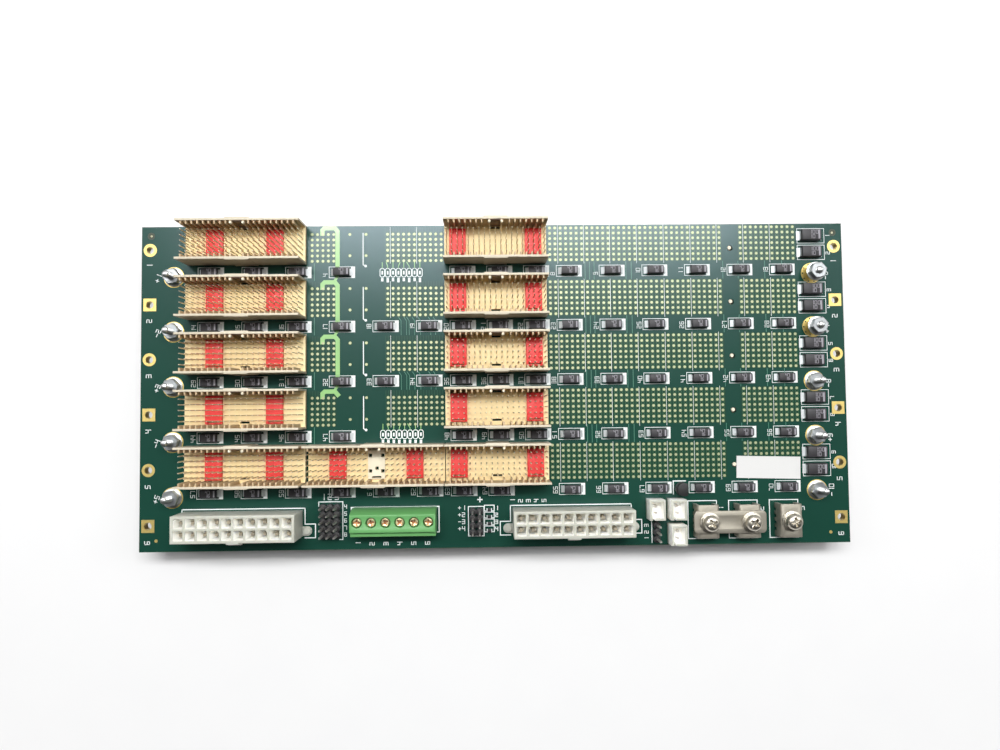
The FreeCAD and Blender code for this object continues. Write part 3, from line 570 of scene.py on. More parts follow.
for row, up in enumerate(CHIP_ROWS):
    left = CHIP_LEFT if row in (1, 2, 4) else CHIP_LEFT[:4]
    centre = CHIP_MIDDLE if row < 4 else CHIP_MIDDLE[:2]
    for across in left + centre + CHIP_RIGHT:
        count += 1
        frame_line(bm, across - 4.8, up - 2.05, across + 4.7, up + 2.05, 0.18)
        plate(bm, [rect(across + 4.0, up, 1.3, 3.9)], BOARD_TOP, above(FILM))
        if row < 4 or across != CHIP_LEFT[3]:
            number(bm, str(count), across - 5.5, up - 1.5, 1.5, 90.0, width=0.2)
for row, slot in enumerate(SLOTS):
    for step, drop in enumerate(LARGE_DROPS):
        up = slot + drop
        frame_line(bm, 114.1, up - 2.75, 124.4, up + 2.75, 0.18)
        number(bm, str(2 * row + step + 1), 126.4, up - 0.7, 1.4, 90.0, width=0.24)
    for across in (-39.2, -29.4) if row < 4 else ():
        stroke(bm, [(across, slot - 7.0), (across, slot + 6.6)], 0.12)
    for across in (23.4, 33.2, 43.0, 53.1, 63.3, 73.4, 83.4, 93.5, 103.6):
        stroke(bm, [(across, slot - 7.4), (across, slot + 7.0)], 0.12)
    if row < 4:
        stroke(bm, [(-49.3, slot + 4.4), (-49.3, slot - 7.4), (-48.8, slot - 7.8)], 0.34)
        plate(bm, [arc(-48.4, slot - 7.9, 0.5, 12)], BOARD_TOP, above(FILM))
ARCH = ((1, 0.7), (0.5, 1), (-0.5, 1), (-1, 0.7), (-1, -0.7), (-0.5, -1), (0.5, -1), (1, -0.7))
for up in RESISTOR_ROWS:
    for step, across in enumerate(RESISTOR_PLACES):
        longer = 0.4 * (step % 2)
        eight = [(across + 0.85 * a, up + 1.6 * b) for a, b in ARCH]
        stroke(bm, [*eight, eight[0]], 0.26)
        plate(bm, [rect(across, up, 0.55, 1.3)], BOARD_TOP, above(FILM))
        plate(bm, [rect(across, up - 2.6 - longer / 2, 0.85, 1.2 + longer)], BOARD_TOP, above(FILM))
for index in range(5):
    up = FIXING_MIDDLE + PITCH * (2 - index)
    number(bm, "+-"[index % 2] + str(index + 1), -124.6, up - 2.0, 1.7, 70.0)
    number(bm, "-+"[index % 2] + str(index + 6), 125.4, up - 2.2, 1.7, 90.0)
for index in range(6):
    up = FIXING_MIDDLE + PITCH * (2.5 - index) - 6.6
    number(bm, str(index + 1), -127.2, up, 1.8, 90.0)
    number(bm, str(index + 1), 128.6, up, 1.8, 90.0)
for middle in SUPPLY_MIDDLES.values():
    stroke(bm, [(middle - 22.4, -44.6), (middle + 22.4, -44.6)], 0.35)
    for side in (-1, 1):
        inner, outer = middle + side * 22.4, middle + side * 26.2
        corner = [(inner, -44.6), (inner, -50.4), (outer, -50.4), (outer, -55.4), (inner, -55.4)]
        stroke(bm, corner, 0.35)
frame_line(bm, -53.9, -53.9, -21.7, -44.6, 0.4)
stroke(bm, [(-65.8, -42.4), (-57.0, -42.4), (-57.0, -56.2), (-58.2, -56.2)], 0.3)
stroke(bm, [(-65.8, -42.4), (-65.8, -44.0)], 0.3)
for step in range(3):
    number(bm, str(step + 1), -65.0 + 2.6 * step, -41.6, 2.0)
for step in range(5):
    number(bm, str(step + 4), -56.4, -44.9 - HEADER_STEP * step, 1.3, width=0.24)
    number(bm, str(step + 1), -50.6 + POLE_STEP * step, -58.4, 1.6, 90.0)
number(bm, "6", -25.2, -58.4, 1.6, 90.0)
number(bm, "+", -7.4, -43.6, 2.6, width=0.45)
for step, sign in enumerate("++-+"):
    up = -45.2 - HEADER_STEP * step
    number(bm, f"{sign}{step + 1}", -14.6, up - 0.8, 1.5, width=0.24)
    frame_line(bm, -5.0, up - 1.3, -1.4, up + 0.8, 0.3)
    number(bm, str(step + 1), -0.9, up - 0.9, 1.3)
stroke(bm, [(-10.9, -44.8), (-5.2, -44.8), (-5.2, -55.6), (-10.9, -55.6), (-10.9, -44.8)], 0.3)
stroke(bm, [(56.9, -50.8), (56.9, -58.9)], 0.3)
for step in range(3):
    number(bm, str(step + 1), 55.6, -58.0 + 2.5 * step, 1.4, 90.0, width=0.24)
stroke(bm, [(65.2, -41.2), (65.2, -36.4), (69.8, -36.4)], 0.35)
for step, middle in enumerate(TAPS):
    frame_line(bm, middle - 5.9, -57.7, middle + 4.8, -43.8, 0.32)
    number(bm, str(step + 1), middle + 7.2, -47.6, 2.0, 90.0)
for step in range(5):
    number(bm, str(step + 1), 6.2 + 2.9 * step, -43.4, 1.5, 90.0, width=0.24)
put("printed_legend", [mesh_of(bm, legend)], "board")


# Slot connectors: front headers on the hidden side that carry the board, and rear shrouds for
# connectors 3 and 5 in every slot and 4 in the lowest. Beige glass-filled mouldings, open at the ends.
def below(height):
    """The level at this height under the board's front face."""
    return BOARD_FRONT - height


MOULD_GRAIN = 0.012


def mould_tones(place):
    """The slow change of tone in a moulding, and its fine satin grain."""
    grain = place.noise(5.0, 3.0)
    return place.noise(0.08, 3.0) * 0.7 + grain * 0.3, grain


def moulded(name, colour, deep, roughness):
    """Moulded plastic of one colour."""
    material, shader, place = finish(name)
    tone, grain = mould_tones(place)
    wire_in(shader, tone.blend(colour, deep), roughness + grain * 0.15, grain, MOULD_GRAIN)
    return material


def shroud_moulding():
    """Beige moulding with painted light: browner within as painted shade, paler on its cavity floor and
    rims as painted light.
    """
    material, shader, place = finish("beige moulding")
    tone, grain = mould_tones(place)
    up, level = place.axes()[1:]
    # Painted shade: the inside faces of each channel are coloured browner than the outside.
    shaded_inside = up.math("PINGPONG", up - SLOTS[0], PITCH / 2) < FIELD_HALF
    # Painted light: the channel floors and the tops of the walls are coloured paler.
    lit_floor = (abs(level - above(FLOOR)) < 0.2) * shaded_inside
    lit_rim = abs(level - BOARD_MIDDLE) > 14.1
    side = tone.blend((0.55, 0.47, 0.35), (0.48, 0.41, 0.30))
    wall = lit_rim.blend(shaded_inside.blend(side, (0.50, 0.37, 0.22)), (0.58, 0.52, 0.40))
    colour = lit_floor.blend(wall, (0.90, 0.735, 0.41))
    wire_in(shader, colour, 0.42 + grain * 0.15, grain, MOULD_GRAIN)
    return material


def shroud(columns, x, y, level, holes):
    """A channel with guide ribs between the contact columns and two posts beside the middle notch."""
    bm = bmesh.new()
    half, outside, wall, flank, tip = columns - 0.05, 7.3, 6.5, 6.6, 5.3
    bump = [(-half, outside), (-4.4, outside), (-4.1, 7.65), (4.1, 7.65), (4.4, outside), (half, outside)]
    base = [*bump, *[(a, -b) for a, b in reversed(bump)]]
    plate(bm, [[(x + a, y + b) for a, b in base], *holes], level(0.0), level(FLOOR))
    between = [GRID * step - columns for step in range(1, columns)]
    ribs = [(a, 0.30) for a in between if abs(a) > 3.6]
    ribs = sorted([*ribs, (-POST_X, 0.4), (POST_X, 0.4)])
    for side in (1, -1):
        sheet = [*bump, (half, wall), (-half, wall)]
        plate(bm, [[(x + a, y + side * b) for a, b in sheet]], level(FLOOR), level(12.7))
        for a, wide in ribs:
            rib = [(a + wide, flank), (a + wide * 0.8, tip), (a - wide * 0.8, tip), (a - wide, flank)]
            plate(bm, [[(x + p, y + side * q) for p, q in rib]], level(FLOOR - 0.1), level(12.3))
    return bm


def post(bm, x, y, profile, sides, start=0.0):
    """A turned or square piece: radius and level from the bottom up, closed at both ends."""
    rings = []
    for radius, level in profile:
        around = arc(x, y, radius, sides, start)
        rings.append([bm.verts.new((a * MM, b * MM, level * MM)) for a, b in around])
    faces = [bm.faces.new(rings[0]), bm.faces.new(rings[-1])]
    for low, high in zip(rings, rings[1:]):
        for step in range(sides):
            after = (step + 1) % sides
            faces.append(bm.faces.new((low[step], low[after], high[after], high[step])))
    bmesh.ops.recalc_face_normals(bm, faces=faces)


def turned(x, y, profile, sides, material, start=0.0):
    """The mesh of a single post."""
    bm = bmesh.new()
    post(bm, x, y, profile, sides, start)
    return mesh_of(bm, material)


BOARD_MIDDLE = (BOARD_TOP + BOARD_FRONT) / 2
FLOOR = 2.0
POST_X = 2.25
beige = shroud_moulding()
cream = moulded("keying moulding", (0.80, 0.75, 0.60), (0.72, 0.66, 0.50), 0.45)
red = moulded("red moulding", (0.82, 0.050, 0.045), (0.70, 0.036, 0.034), 0.40)
# Dark brown for the painted shade sheets behind the notches.
brown = moulded("shaded notch", (0.16, 0.09, 0.055), (0.12, 0.07, 0.045), 0.5)
contact, shader, place = finish("contact wire", metallic=0.5)
tone = place.noise(1.5, 4.0)
# Painted highlight: the contacts are coloured paler at their far ends.
tip = abs(place.axes()[2] - BOARD_MIDDLE) > 11.3
wire = tone.blend((0.74, 0.65, 0.46), (0.64, 0.55, 0.37))
wire_in(shader, tip.blend(wire, (0.90, 0.86, 0.74)), 0.42 + tone * 0.1, tone)
CONNECTORS = (
    (1, 25, 88.45, 0),
    (2, 22, 41.45, 0),
    (3, 19, 0.0, 5),
    (4, 25, -44.2, 1),
    (5, 22, -92.2, 5),
)
KEYING_HOLES = ((-2.2, 3.2), (2.3, 3.2), (-2.2, -2.5), (2.3, -2.5), (0.2, -1.5))
front_pins, rear_pins, keys, locks, shades = [], [], [], [], []
for connector, columns, middle, rear in CONNECTORS:
    faces = [(below, 5, SLOTS[0], "front_header", front_pins, 9.4)]
    if rear:
        faces.append((above, rear, SLOTS[5 - rear], "rear_shroud", rear_pins, 10.2))
    for level, slots, up, label, pins, reach in faces:
        keyed = columns == 25
        holes = [rect(middle + a, up + b, 1.2, 1.2) for a, b in (KEYING_HOLES if keyed else ())]
        holes.append(rect(middle, up - 4.7, 3.4, 0.7))
        back_notch = rect(middle, up + 5.85, 3.4, 0.8)
        channel = shroud(columns, middle, up, level, [*holes, back_notch])
        moulding = rows(mesh_of(channel, beige, 0.07), slots=slots)
        first = SLOTS.index(up) + 1
        stood = [f"{label}_{connector}_slot_{place}" for place in range(first, first + slots)]
        put(f"{label}s_{connector}", [moulding], "shroud", *stood)
        runs = [(middle - columns + 1.0, columns)]
        if keyed:
            runs = [(middle - 24.0, 11), (middle + 4.0, 11)]
            block = slab([rect(middle, up, 6.2, 10.8), *holes], level(FLOOR), level(2.9), cream, 0.05)
            keys.append(rows(block, slots=slots))
        bm = bmesh.new()
        for side in (-POST_X, POST_X):
            peg = [(0.5, level(11.5)), (0.5, level(12.45)), (0.3, level(12.65))]
            post(bm, middle + side, up + 5.75, peg, 16)
        keys.append(rows(mesh_of(bm, cream), slots=slots))
        # Painted shade: a dark brown sheet on the inside of the wall behind the middle notch stands in for
        # the shadow there.
        notch = slab([rect(middle, up + 6.4, 3.7, 0.3)], level(2.1), level(12.2), brown)
        shades.append(rows(notch, slots=slots))
        for left, run in runs:
            profile = [(0.25, level(1.5)), (0.25, level(reach - 0.7)), (0.12, level(reach))]
            pin = turned(left, up - 4.0, profile, 4, contact, 45.0)
            pins.append(rows(pin, (run, GRID), (5, GRID), slots))
        if label == "rear_shroud":
            offset = 11.0 if columns == 22 else 14.0
            for across in (middle - offset, middle + offset):
                loops = [rect(across, up, 6.1, 10.4), rect(across, up - 4.5, 4.4, 0.45)]
                locks.append(rows(slab(loops, level(FLOOR), level(3.4), red, 0.1), slots=slots))
vent_post = [(0.7, BOARD_FRONT), (0.7, above(-0.05)), (0.62, above(0.05))]
keys.append(rows(turned(88.3, SLOTS[0] - 1.85, vent_post, 24, cream), slots=5))
put("keying_blocks", keys, "shroud")
put("notch_shade_sheets", shades, "shroud")
put("lock_inserts", locks, "lock_insert", "shroud_lock_inserts")
put("front_contacts", front_pins, "tinned_pin")
put("rear_contacts", rear_pins, "tinned_pin")


# Tantalum capacitors: dark moulded blocks with drawn-in sides, a pale band and printed numbers, on
# folded tinned terminals that are soldered to the board. Small ones between slots, large ones at the end.
def capacitor(x, y, length, width, height, marks):
    """The meshes of one capacitor: body, terminals and printing on its top."""
    ends, print_on = bmesh.new(), bmesh.new()
    a, mid, inset = width / 2, height * 0.5, length / 2 - 0.06
    section = [(-a, 0.1), (a, 0.1), (a, mid), (a - 0.2, height), (0.2 - a, height), (-a, mid)]
    outline = [(y + b, above(c)) for b, c in section]
    body = slab([outline], x - inset, x + inset, dark, 0.12, axis=0)
    for side in (-1, 1):
        tip = x + side * length / 2
        plate(ends, [rect(tip - side * 0.07, y, 0.16, width * 0.72)], above(0.04), above(mid))
        foot = [(tip + side * b, above(c)) for b, c in TERMINAL_FOOT]
        plate(ends, [foot], y - width * 0.40, y + width * 0.40, axis=1)
    low, high = above(height - 0.015), above(height + 0.005)
    for step, text in enumerate(marks):
        line = y + width * (0.06 - 0.40 * step)
        number(print_on, text, x - length * 0.12, line, width * 0.30, level=low, width=0.2)
    plate(print_on, [rect(x + length * 0.38, y, length * 0.09, width - 0.9)], low, high)
    return body, mesh_of(ends, solder), mesh_of(print_on, faded)


TERMINAL_FOOT = ((-0.9, 0.0), (1.15, 0.0), (1.05, 0.06), (0.1, 0.5), (-0.9, 0.09))
dark = moulded("capacitor moulding", (0.026, 0.024, 0.028), (0.018, 0.017, 0.020), 0.42)
solder = metal("tinned terminal", (0.74, 0.77, 0.78), (0.60, 0.63, 0.64), 0.46)
faded = moulded("faded marking", (0.34, 0.33, 0.36), (0.24, 0.23, 0.26), 0.5)
FIVE = (5, -PITCH)
SMALL_FIELDS = (
    (CHIP_LEFT[0], 0, (4, LEFT_STEP), FIVE),
    (CHIP_LEFT[4], 1, (2, LEFT_STEP), (2, -PITCH)),
    (CHIP_LEFT[4], 4, (2, LEFT_STEP), (1, 0.0)),
    (CHIP_MIDDLE[0], 0, (3, MIDDLE_STEP), (4, -PITCH)),
    (CHIP_MIDDLE[0], 4, (2, MIDDLE_STEP), (1, 0.0)),
    (CHIP_RIGHT[0], 0, (6, RIGHT_STEP), FIVE),
)
small = []
for across, row, columns, up in SMALL_FIELDS:
    one = capacitor(across, CHIP_ROWS[row], 6.0, 3.2, 2.6, ("47", "16"))
    small.append([rows(mesh, columns, up) for mesh in one])
large = []
for drop in LARGE_DROPS:
    one = capacitor(118.6, SLOTS[0] + drop, 7.3, 4.3, 2.9, ("100", "10"))
    large.append([rows(mesh, up=FIVE) for mesh in one])
for label, groups, node in (("small", small, "small_capacitors"), ("large", large, "large_capacitors")):
    bodies, ends, marks = zip(*groups)
    put(f"{label}_capacitor_bodies", bodies, "capacitor", node)
    put(f"{label}_capacitor_terminals", ends, "tinned_pin")
    put(f"{label}_capacitor_marks", marks, "capacitor")


# Power studs: a plated screw pressed up through the board, over a gold ring pad, with a flat washer,
# a spring washer and a hexagon nut. The thread is cut in rings and the tip is rounded.
def washer(x, y, outside, inside, gap=0.0):
    """The outline of a washer, split if it has a gap in degrees."""
    outer, inner = (arc(x, y, radius, 36, gap / 2, 360.0 - gap) for radius in (outside, inside))
    return [outer + inner[::-1]] if gap else [outer, inner]


steel = metal("plated steel nut", (0.46, 0.48, 0.49), (0.34, 0.36, 0.37), 0.28)
bright = metal("bright plated steel", (0.72, 0.73, 0.72), (0.58, 0.59, 0.58), 0.24)
STUD_X = 119.1
NUT_DOWN = 0.95
NUT_UP = 4.85
THREAD_STEP = 0.27
CREST = 1.3
ROOT = 1.12
HEXAGON = [(2.9, 0.0), (3.17, 0.2), (3.17, 1.9), (2.8, 2.15)]
NUT_FACE = [(2.6, 1.9), (2.55, 2.18), (1.62, 2.18), (1.34, 1.5)]
thread = [(1.25, BOARD_TOP)]
for step in range(25):
    level = above(1.0 + THREAD_STEP * step)
    thread += [(CREST, level), (CREST, level + 0.06), (ROOT, level + 0.16), (ROOT, level + 0.21)]
thread += [(ROOT, above(7.9)), (0.95, above(8.3)), (0.5, above(8.5))]
nuts, rods, collars = [], [], []
for left, row, count, lift in ((-STUD_X, 0, 5, NUT_DOWN), (STUD_X, 2, 3, NUT_DOWN), (STUD_X, 0, 2, NUT_UP)):
    up = FIXING_MIDDLE + PITCH * (2 - row)
    low = above(lift)
    run = (count, -PITCH)
    rods.append(rows(turned(left, up, thread, 24, bright), up=run))
    flat = washer(left, up, 3.5, 1.35)
    rods.append(rows(slab(flat, low - 0.92, low - 0.5, bright, 0.06), up=run))
    bm = bmesh.new()
    post(bm, left, up, [(radius, low + level) for radius, level in HEXAGON], 6, 12.0)
    post(bm, left, up, [(radius, low + level) for radius, level in NUT_FACE], 24)
    post(bm, left, up, [(2.4, below(0.7)), (2.6, below(0.5)), (2.6, BOARD_FRONT)], 32)
    nuts.append(rows(mesh_of(bm, steel), up=run))
    split = washer(left, up, 2.6, 1.35, 14.0)
    nuts.append(rows(slab(split, low - 0.5, low, steel, 0.06), up=run))
    vias = [arc(left + a, up + b, 0.3, 10) for a, b in arc(0.0, 0.0, 3.3, 10)]
    loops = [arc(left, up, 3.85, 48), arc(left, up, 1.4, 24), *vias]
    collars.append(rows(slab(loops, BOARD_TOP, above(COPPER), gold), up=run))
put("stud_nuts", nuts, "stud", "power_studs")
put("stud_rods_and_washers", rods, "stud")
put("stud_pads", collars, "board")


# Supply headers: natural nylon housings with two rows of cells for keyed plugs, a latch ramp on the
# lower side and a pegged ear at each end. Dull contact blades stand in the cells.
def cut(mesh, tool):
    """The mesh with a tool's shape taken out of it."""
    cutter = bpy.data.objects.new("cutter", mesh_of(tool, mesh.materials[0]))
    bpy.context.scene.collection.objects.link(cutter)
    result = applied(mesh, "BOOLEAN", object=cutter, operation="DIFFERENCE")
    bpy.data.objects.remove(cutter)
    return result


def natural_nylon():
    """Off-white nylon that lets some light through, with its cells and sockets painted paler inside and
    given a faint painted glow.
    """
    material, shader, place = finish(
        "natural nylon",
        Subsurface_Weight=0.5,
        Subsurface_Scale=0.002,
        Subsurface_Radius=(1.0, 0.95, 0.85),
        Emission_Strength=0.03,
    )
    tone, grain = mould_tones(place)
    x, y, z = place.axes()
    left, right = SUPPLY_MIDDLES.values()
    across = abs(abs(x - (left + right) / 2) - (right - left) / 2)
    # Painted light: the insides of the cells and sockets are coloured paler than the skin.
    glowing_cells = (across < 21.2) * (abs(y - SUPPLY_Y) < 4.3) * (z < above(12.55))
    glowing_sockets = (x > 54.0) * (z < above(6.8)) * (z > above(1.0))
    inside = glowing_cells.math("MAXIMUM", glowing_cells, glowing_sockets)
    skin = tone.blend((0.51, 0.515, 0.45), (0.46, 0.465, 0.405))
    colour = inside.blend(skin, (0.97, 0.965, 0.91))
    wire_in(shader, colour, 0.34 + grain * 0.15, grain, MOULD_GRAIN)
    # Painted glow: the same insides emit a faint warm light.
    glow = inside.blend((0.0, 0.0, 0.0), (1.0, 0.97, 0.80))
    glow.tree.links.new(glow.socket, shader.inputs["Emission Color"])
    return material


SUPPLY_Y = -50.05
SUPPLY_TOP = 12.8
CELL_STEP = 4.2
CELL = 3.4
KEYED_CELL = [(-1.7, -1.7), (1.7, -1.7), (1.7, 1.0), (1.0, 1.7), (-1.0, 1.7), (-1.7, 1.0)]
LATCH_RAMP = [(-4.7, 7.8), (-4.7, SUPPLY_TOP), (-5.2, SUPPLY_TOP), (-6.0, 9.3), (-6.0, 7.8)]
EAR_Y = SUPPLY_Y - 2.8
EAR_RADIUS = 1.7
EAR_PEG = [(1.4, above(0.9)), (1.4, above(1.4)), (1.1, above(1.6))]
nylon = natural_nylon()
for side, middle in SUPPLY_MIDDLES.items():
    housing = slab([rect(middle, SUPPLY_Y, 43.2, 9.6)], BOARD_TOP, above(SUPPLY_TOP), nylon)
    bm = bmesh.new()
    for step in range(10):
        for row in (0, 1):
            a, b = middle + CELL_STEP * (step - 4.5), SUPPLY_Y + CELL_STEP * (row - 0.5)
            keyed = (step + row) % 2
            cell = [(a + p, b + q) for p, q in KEYED_CELL] if keyed else rect(a, b, CELL, CELL)
            plate(bm, [cell], above(2.5), above(14.0))
    housing = softened(cut(housing, bm), 0.14)
    bm = bmesh.new()
    ramp = [(SUPPLY_Y + a, above(b)) for a, b in LATCH_RAMP]
    plate(bm, [ramp], middle - 2.15, middle + 2.15, axis=0)
    for end in (-1, 1):
        nose = [(middle + end * a, EAR_Y + b) for a, b in arc(23.4, 0.0, EAR_RADIUS, 13, -90.0, 195.0)]
        root = middle + end * 21.5
        plate(bm, [[(root, EAR_Y - EAR_RADIUS), *nose, (root, EAR_Y + EAR_RADIUS)]], BOARD_TOP, above(1.0))
        post(bm, middle + end * 23.3, EAR_Y, EAR_PEG, 24)
    extras = mesh_of(bm, nylon, 0.1)
    put(f"supply_housing_{side}", [housing, extras], "supply_housing", f"supply_header_{side}")
blade = metal("dull contact blade", (0.42, 0.38, 0.30), (0.32, 0.28, 0.21), 0.4)
nodes["supply_header_pins"].data.materials[0] = blade


# Terminal block: a bright green housing with a leaning back, a front lip, a screw well and a wire entry
# for each pole. The cross-recessed clamping screws are brass-plated and drive cage clamps inside.
grass = moulded("green moulding", (0.135, 0.37, 0.125), (0.110, 0.32, 0.100), 0.36)
brass, shader, place = finish("brass-plated screw", metallic=1.0)
tone = place.noise(1.5, 4.0)
# Painted shade: below the top of the head the screws are coloured dark copper, down their sides in the well
# and in the cross recess.
recess = place.axes()[2] < above(9.3)
plated = tone.blend((0.98, 0.88, 0.56), (0.90, 0.78, 0.44))
wire_in(shader, recess.blend(plated, (0.62, 0.34, 0.18)), 0.34 + tone * 0.12, tone)
middle, up = -37.7, -49.25
POLES = [middle + POLE_STEP * (step - 2.5) for step in range(6)]
WELL_Y = up + 0.4
WELL_FLOOR = above(6.6)
section = [(-4.75, 0.0), (4.75, 0.0), (4.75, 6.0), (3.2, 10.0), (-3.1, 10.0), (-3.1, 8.2), (-4.75, 8.2)]
outline = [(up + a, above(b)) for a, b in section]
half = POLE_STEP * 3
housing = slab([outline], middle - half, middle + half, grass, axis=0)
bm = bmesh.new()
for across in POLES:
    plate(bm, [arc(across, WELL_Y, 1.85, 32)], WELL_FLOOR, above(12.0))
    plate(bm, [rect(across, above(2.9), 3.4, 3.6)], up - 6.0, up + 1.65, axis=1)
put("terminal_housing", [softened(cut(housing, bm), 0.15)], "terminal_green", "terminal_block_body")


def crosshead(x, y, profile, top, reach, width, depth, material, turn):
    """A turned screw head with a cross recess in its top."""
    head = turned(x, y, profile, 36, material)
    for angle in (turn, turn + 90.0):
        bm = bmesh.new()
        a, b = math.cos(math.radians(angle)), math.sin(math.radians(angle))
        bar = [(reach, width), (-reach, width), (-reach, -width), (reach, -width)]
        plate(bm, [[(x + a * p - b * q, y + b * p + a * q) for p, q in bar]], top - depth, top + 1.0)
        head = cut(head, bm)
    return softened(head, 0.06)


top = WELL_FLOOR + 2.9
profile = [(1.55, WELL_FLOOR), (1.55, WELL_FLOOR + 2.6), (1.35, top)]
screws = []
for step, across in enumerate(POLES):
    screws.append(crosshead(across, WELL_Y, profile, top, 1.2, 0.3, 1.3, brass, 17.0 * step))
put("terminal_screws", screws, "terminal_screw", "terminal_block_screws")
nodes["terminal_block_clamps"].data.materials[0] = solder


# Pin headers: black bases of eight-sided cells with square tinned pins, and three open-topped
# white wafer connectors with two pins each and a slotted lower wall.
black = moulded("black moulding", (0.014, 0.014, 0.015), (0.009, 0.009, 0.010), 0.46)
dull = metal("dull tinned pin", (0.86, 0.82, 0.79), (0.70, 0.66, 0.63), 0.34)
PIN_HEADERS = {
    "pin_header_three_by_five": (-63.94, -54.43, 3, 5),
    "pin_header_two_by_four": (-9.27, -54.06, 2, 4),
    "pin_header_one_by_three": (58.4, -57.39, 1, 3),
}
HEADER_PIN = [(0.45, above(2.3)), (0.45, above(8.0)), (0.2, above(8.4))]
WAFER_PIN = [(0.45, above(1.5)), (0.45, above(4.9)), (0.2, above(5.2))]
WAFER_FLOOR = above(1.6)
bases, pins = [], []
for left, low, columns, up in PIN_HEADERS.values():
    grid = (columns, HEADER_STEP), (up, HEADER_STEP)
    base = slab([arc(left, low, 1.37, 8, 22.5)], BOARD_TOP, above(2.54), black, 0.08)
    bases.append(rows(base, *grid))
    pins.append(rows(turned(left, low, HEADER_PIN, 4, dull, 45.0), *grid))
put("pin_header_bases", bases, "header_base", *PIN_HEADERS)
wafers = []
for across, up in ((57.75, -46.25), (65.5, -46.25), (65.5, -55.45)):
    housing = slab([rect(across, up, 5.75, 7.4)], BOARD_TOP, above(7.0), nylon)
    for opening in (rect(across, up, 4.15, 5.8), rect(across - 1.44, up - 3.4, 0.9, 2.0)):
        bm = bmesh.new()
        plate(bm, [opening], WAFER_FLOOR, above(9.0))
        housing = cut(housing, bm)
    wafers.append(softened(housing, 0.12))
    pins.append(rows(turned(across, up - 1.25, WAFER_PIN, 4, dull, 45.0), up=(2, 2.5)))
put("wafer_housings", wafers, "wafer_white", "wafer_connectors")
put("header_posts", pins, "tinned_pin", "header_pins")


# Power taps: nickel-plated strip folded over into a bridge, with a comb of solder legs down each side.
# A plated link bar lies over two of them; pan-head screws with spring and flat washers clamp them.
nickel = metal("dull nickel plate", (0.45, 0.42, 0.355), (0.40, 0.375, 0.315), 0.52)
QUARTER = 90.0 * 8 / 7
INNER_HALF = 2.9
STRIP = 1.2
INNER_TOP = 4.8
TAP_TOP = INNER_TOP + STRIP
BAR_TOP = TAP_TOP + 1.2
first, up = TAPS[0], -50.75
left, right, lift = first - INNER_HALF, first + INNER_HALF, above(INNER_TOP)
bends = arc(right, lift, STRIP, 8, 0.0, QUARTER) + arc(left, lift, STRIP, 8, 90.0, QUARTER)
outline = [(right + STRIP, BOARD_TOP), *bends, (left - STRIP, BOARD_TOP)]
outline += [(left, BOARD_TOP), (left, lift), (right, lift), (right, BOARD_TOP)]
bridge = slab([outline], up - 6.0, up + 6.0, nickel, axis=1)
bm = bmesh.new()
plate(bm, [arc(first, up, 2.1, 28)], above(4.0), above(7.0))
for step in range(4):
    plate(bm, [rect(first, up + 2.4 * (step - 1.5), 10.0, 1.1)], above(-1.0), above(1.6))
bridge = softened(cut(bridge, bm), 0.08)
put("tap_bridges", [rows(bridge, (3, TAP_STEP))], "tap_metal", "power_taps")

middle = first + TAP_STEP / 2
corners = []
for a, b, start in ((1, 1, 0.0), (-1, 1, 90.0), (-1, -1, 180.0), (1, -1, 270.0)):
    corners += arc(middle + a * 11.6, up + b * 2.5, 1.5, 8, start, QUARTER)
holes = [arc(across, up, 2.2, 28) for across in TAPS[:2]]
bar = slab([corners, *holes], above(TAP_TOP), above(BAR_TOP), nickel, 0.07)
put("link_plate", [bar], "tap_metal", "link_bar")

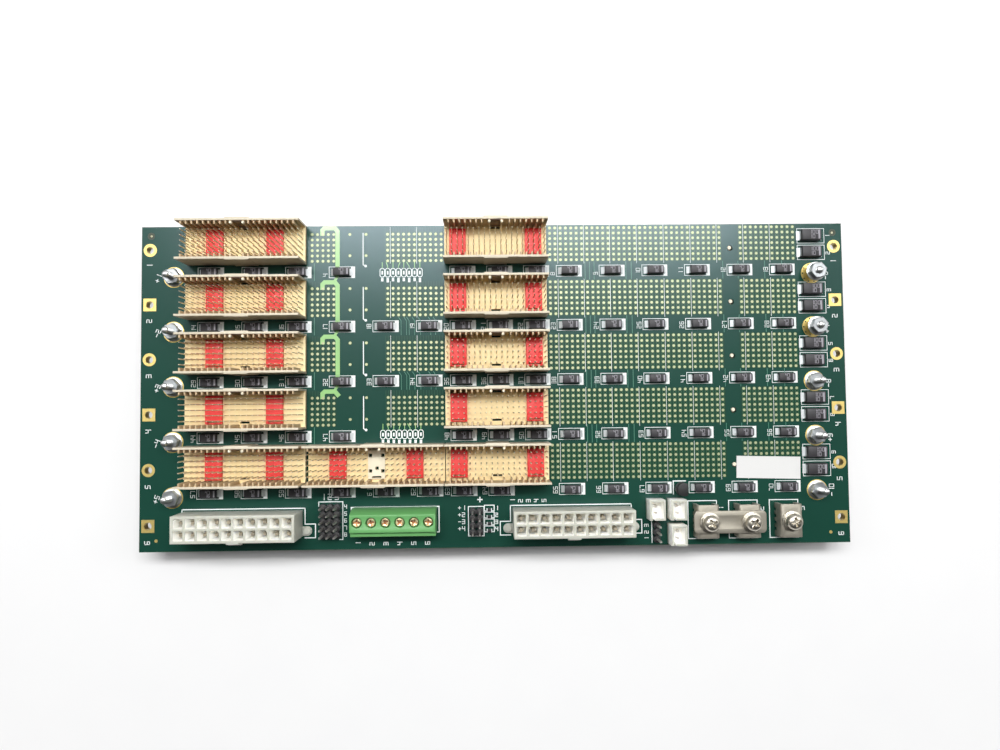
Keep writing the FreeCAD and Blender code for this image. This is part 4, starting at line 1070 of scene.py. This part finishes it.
champagne = metal("bright nickel plate", (0.70, 0.66, 0.57), (0.58, 0.54, 0.46), 0.26)
HEAD_TOP = 4.18
PAN_HEAD = [(2.75, 1.6), (2.9, 1.8), (2.88, 2.9), (2.65, 3.5), (2.1, 3.95), (1.2, HEAD_TOP)]
SCREW = [(1.95, -4.6), (1.95, 1.6), *PAN_HEAD]
heads = []
for across, seat, turn in zip(TAPS, (BAR_TOP, BAR_TOP, TAP_TOP), (28.0, 55.0, 12.0)):
    low = above(seat)
    flat, split = washer(across, up, 3.6, 2.05), washer(across, up, 3.1, 2.05, 10.0)
    heads.append(slab(flat, low, low + 0.75, champagne, 0.08))
    heads.append(slab(split, low + 0.75, low + 1.6, champagne, 0.08))
    profile = [(radius, low + rise) for radius, rise in SCREW]
    heads.append(crosshead(across, up, profile, low + HEAD_TOP, 1.75, 0.42, 1.7, champagne, turn))
put("tap_heads", heads, "tap_screw", "power_tap_screws")


# Sensor: a black moulding with a round back and a flat front on three legs. Beside the pin header are
# four chip resistors with tinned ends, and over the lowest slot a slip of blank paper is stuck.
SENSOR_X = 67.8
SENSOR_Y = -39.0
SENSOR_RADIUS = 2.4
FLAT_OUT = 1.3
start = math.degrees(math.acos(FLAT_OUT / SENSOR_RADIUS))
turn = (360.0 - 2 * start) * 29 / 28
back = arc(SENSOR_X, SENSOR_Y, SENSOR_RADIUS, 29, start, turn)
put("sensor_body", [slab([back], above(1.4), above(6.2), black, 0.1)], "sensor_black", "sensor")
bm = bmesh.new()
for step in (-1, 0, 1):
    plate(bm, [rect(SENSOR_X, SENSOR_Y + 1.27 * step, 0.45, 0.45)], BOARD_TOP, above(1.5))
put("sensor_legs", [mesh_of(bm, solder)], "tinned_pin")

RESISTOR_X = -3.2
RESISTOR_Y = -53.7
RESISTOR_TOP = above(0.55)
FOUR = (4, 2.52)
body = slab([rect(RESISTOR_X, RESISTOR_Y, 1.3, 1.22)], above(0.02), RESISTOR_TOP, black, 0.04)
put("resistor_bodies", [rows(body, up=FOUR)], "resistor", "chip_resistors")
bm = bmesh.new()
for offset in (-0.82, 0.82):
    plate(bm, [rect(RESISTOR_X + offset, RESISTOR_Y, 0.36, 1.25)], BOARD_TOP, RESISTOR_TOP)
put("resistor_ends", [rows(mesh_of(bm, solder, 0.04), up=FOUR)], "tinned_pin")

paper, shader, place = finish("label paper")
fibre = place.noise(2.5, 4.0)
wire_in(shader, fibre.blend((0.66, 0.66, 0.65), (0.60, 0.60, 0.59)), 0.7 + fibre * 0.2, fibre, 0.02)
nodes["paper_label"].data.materials[0] = paper
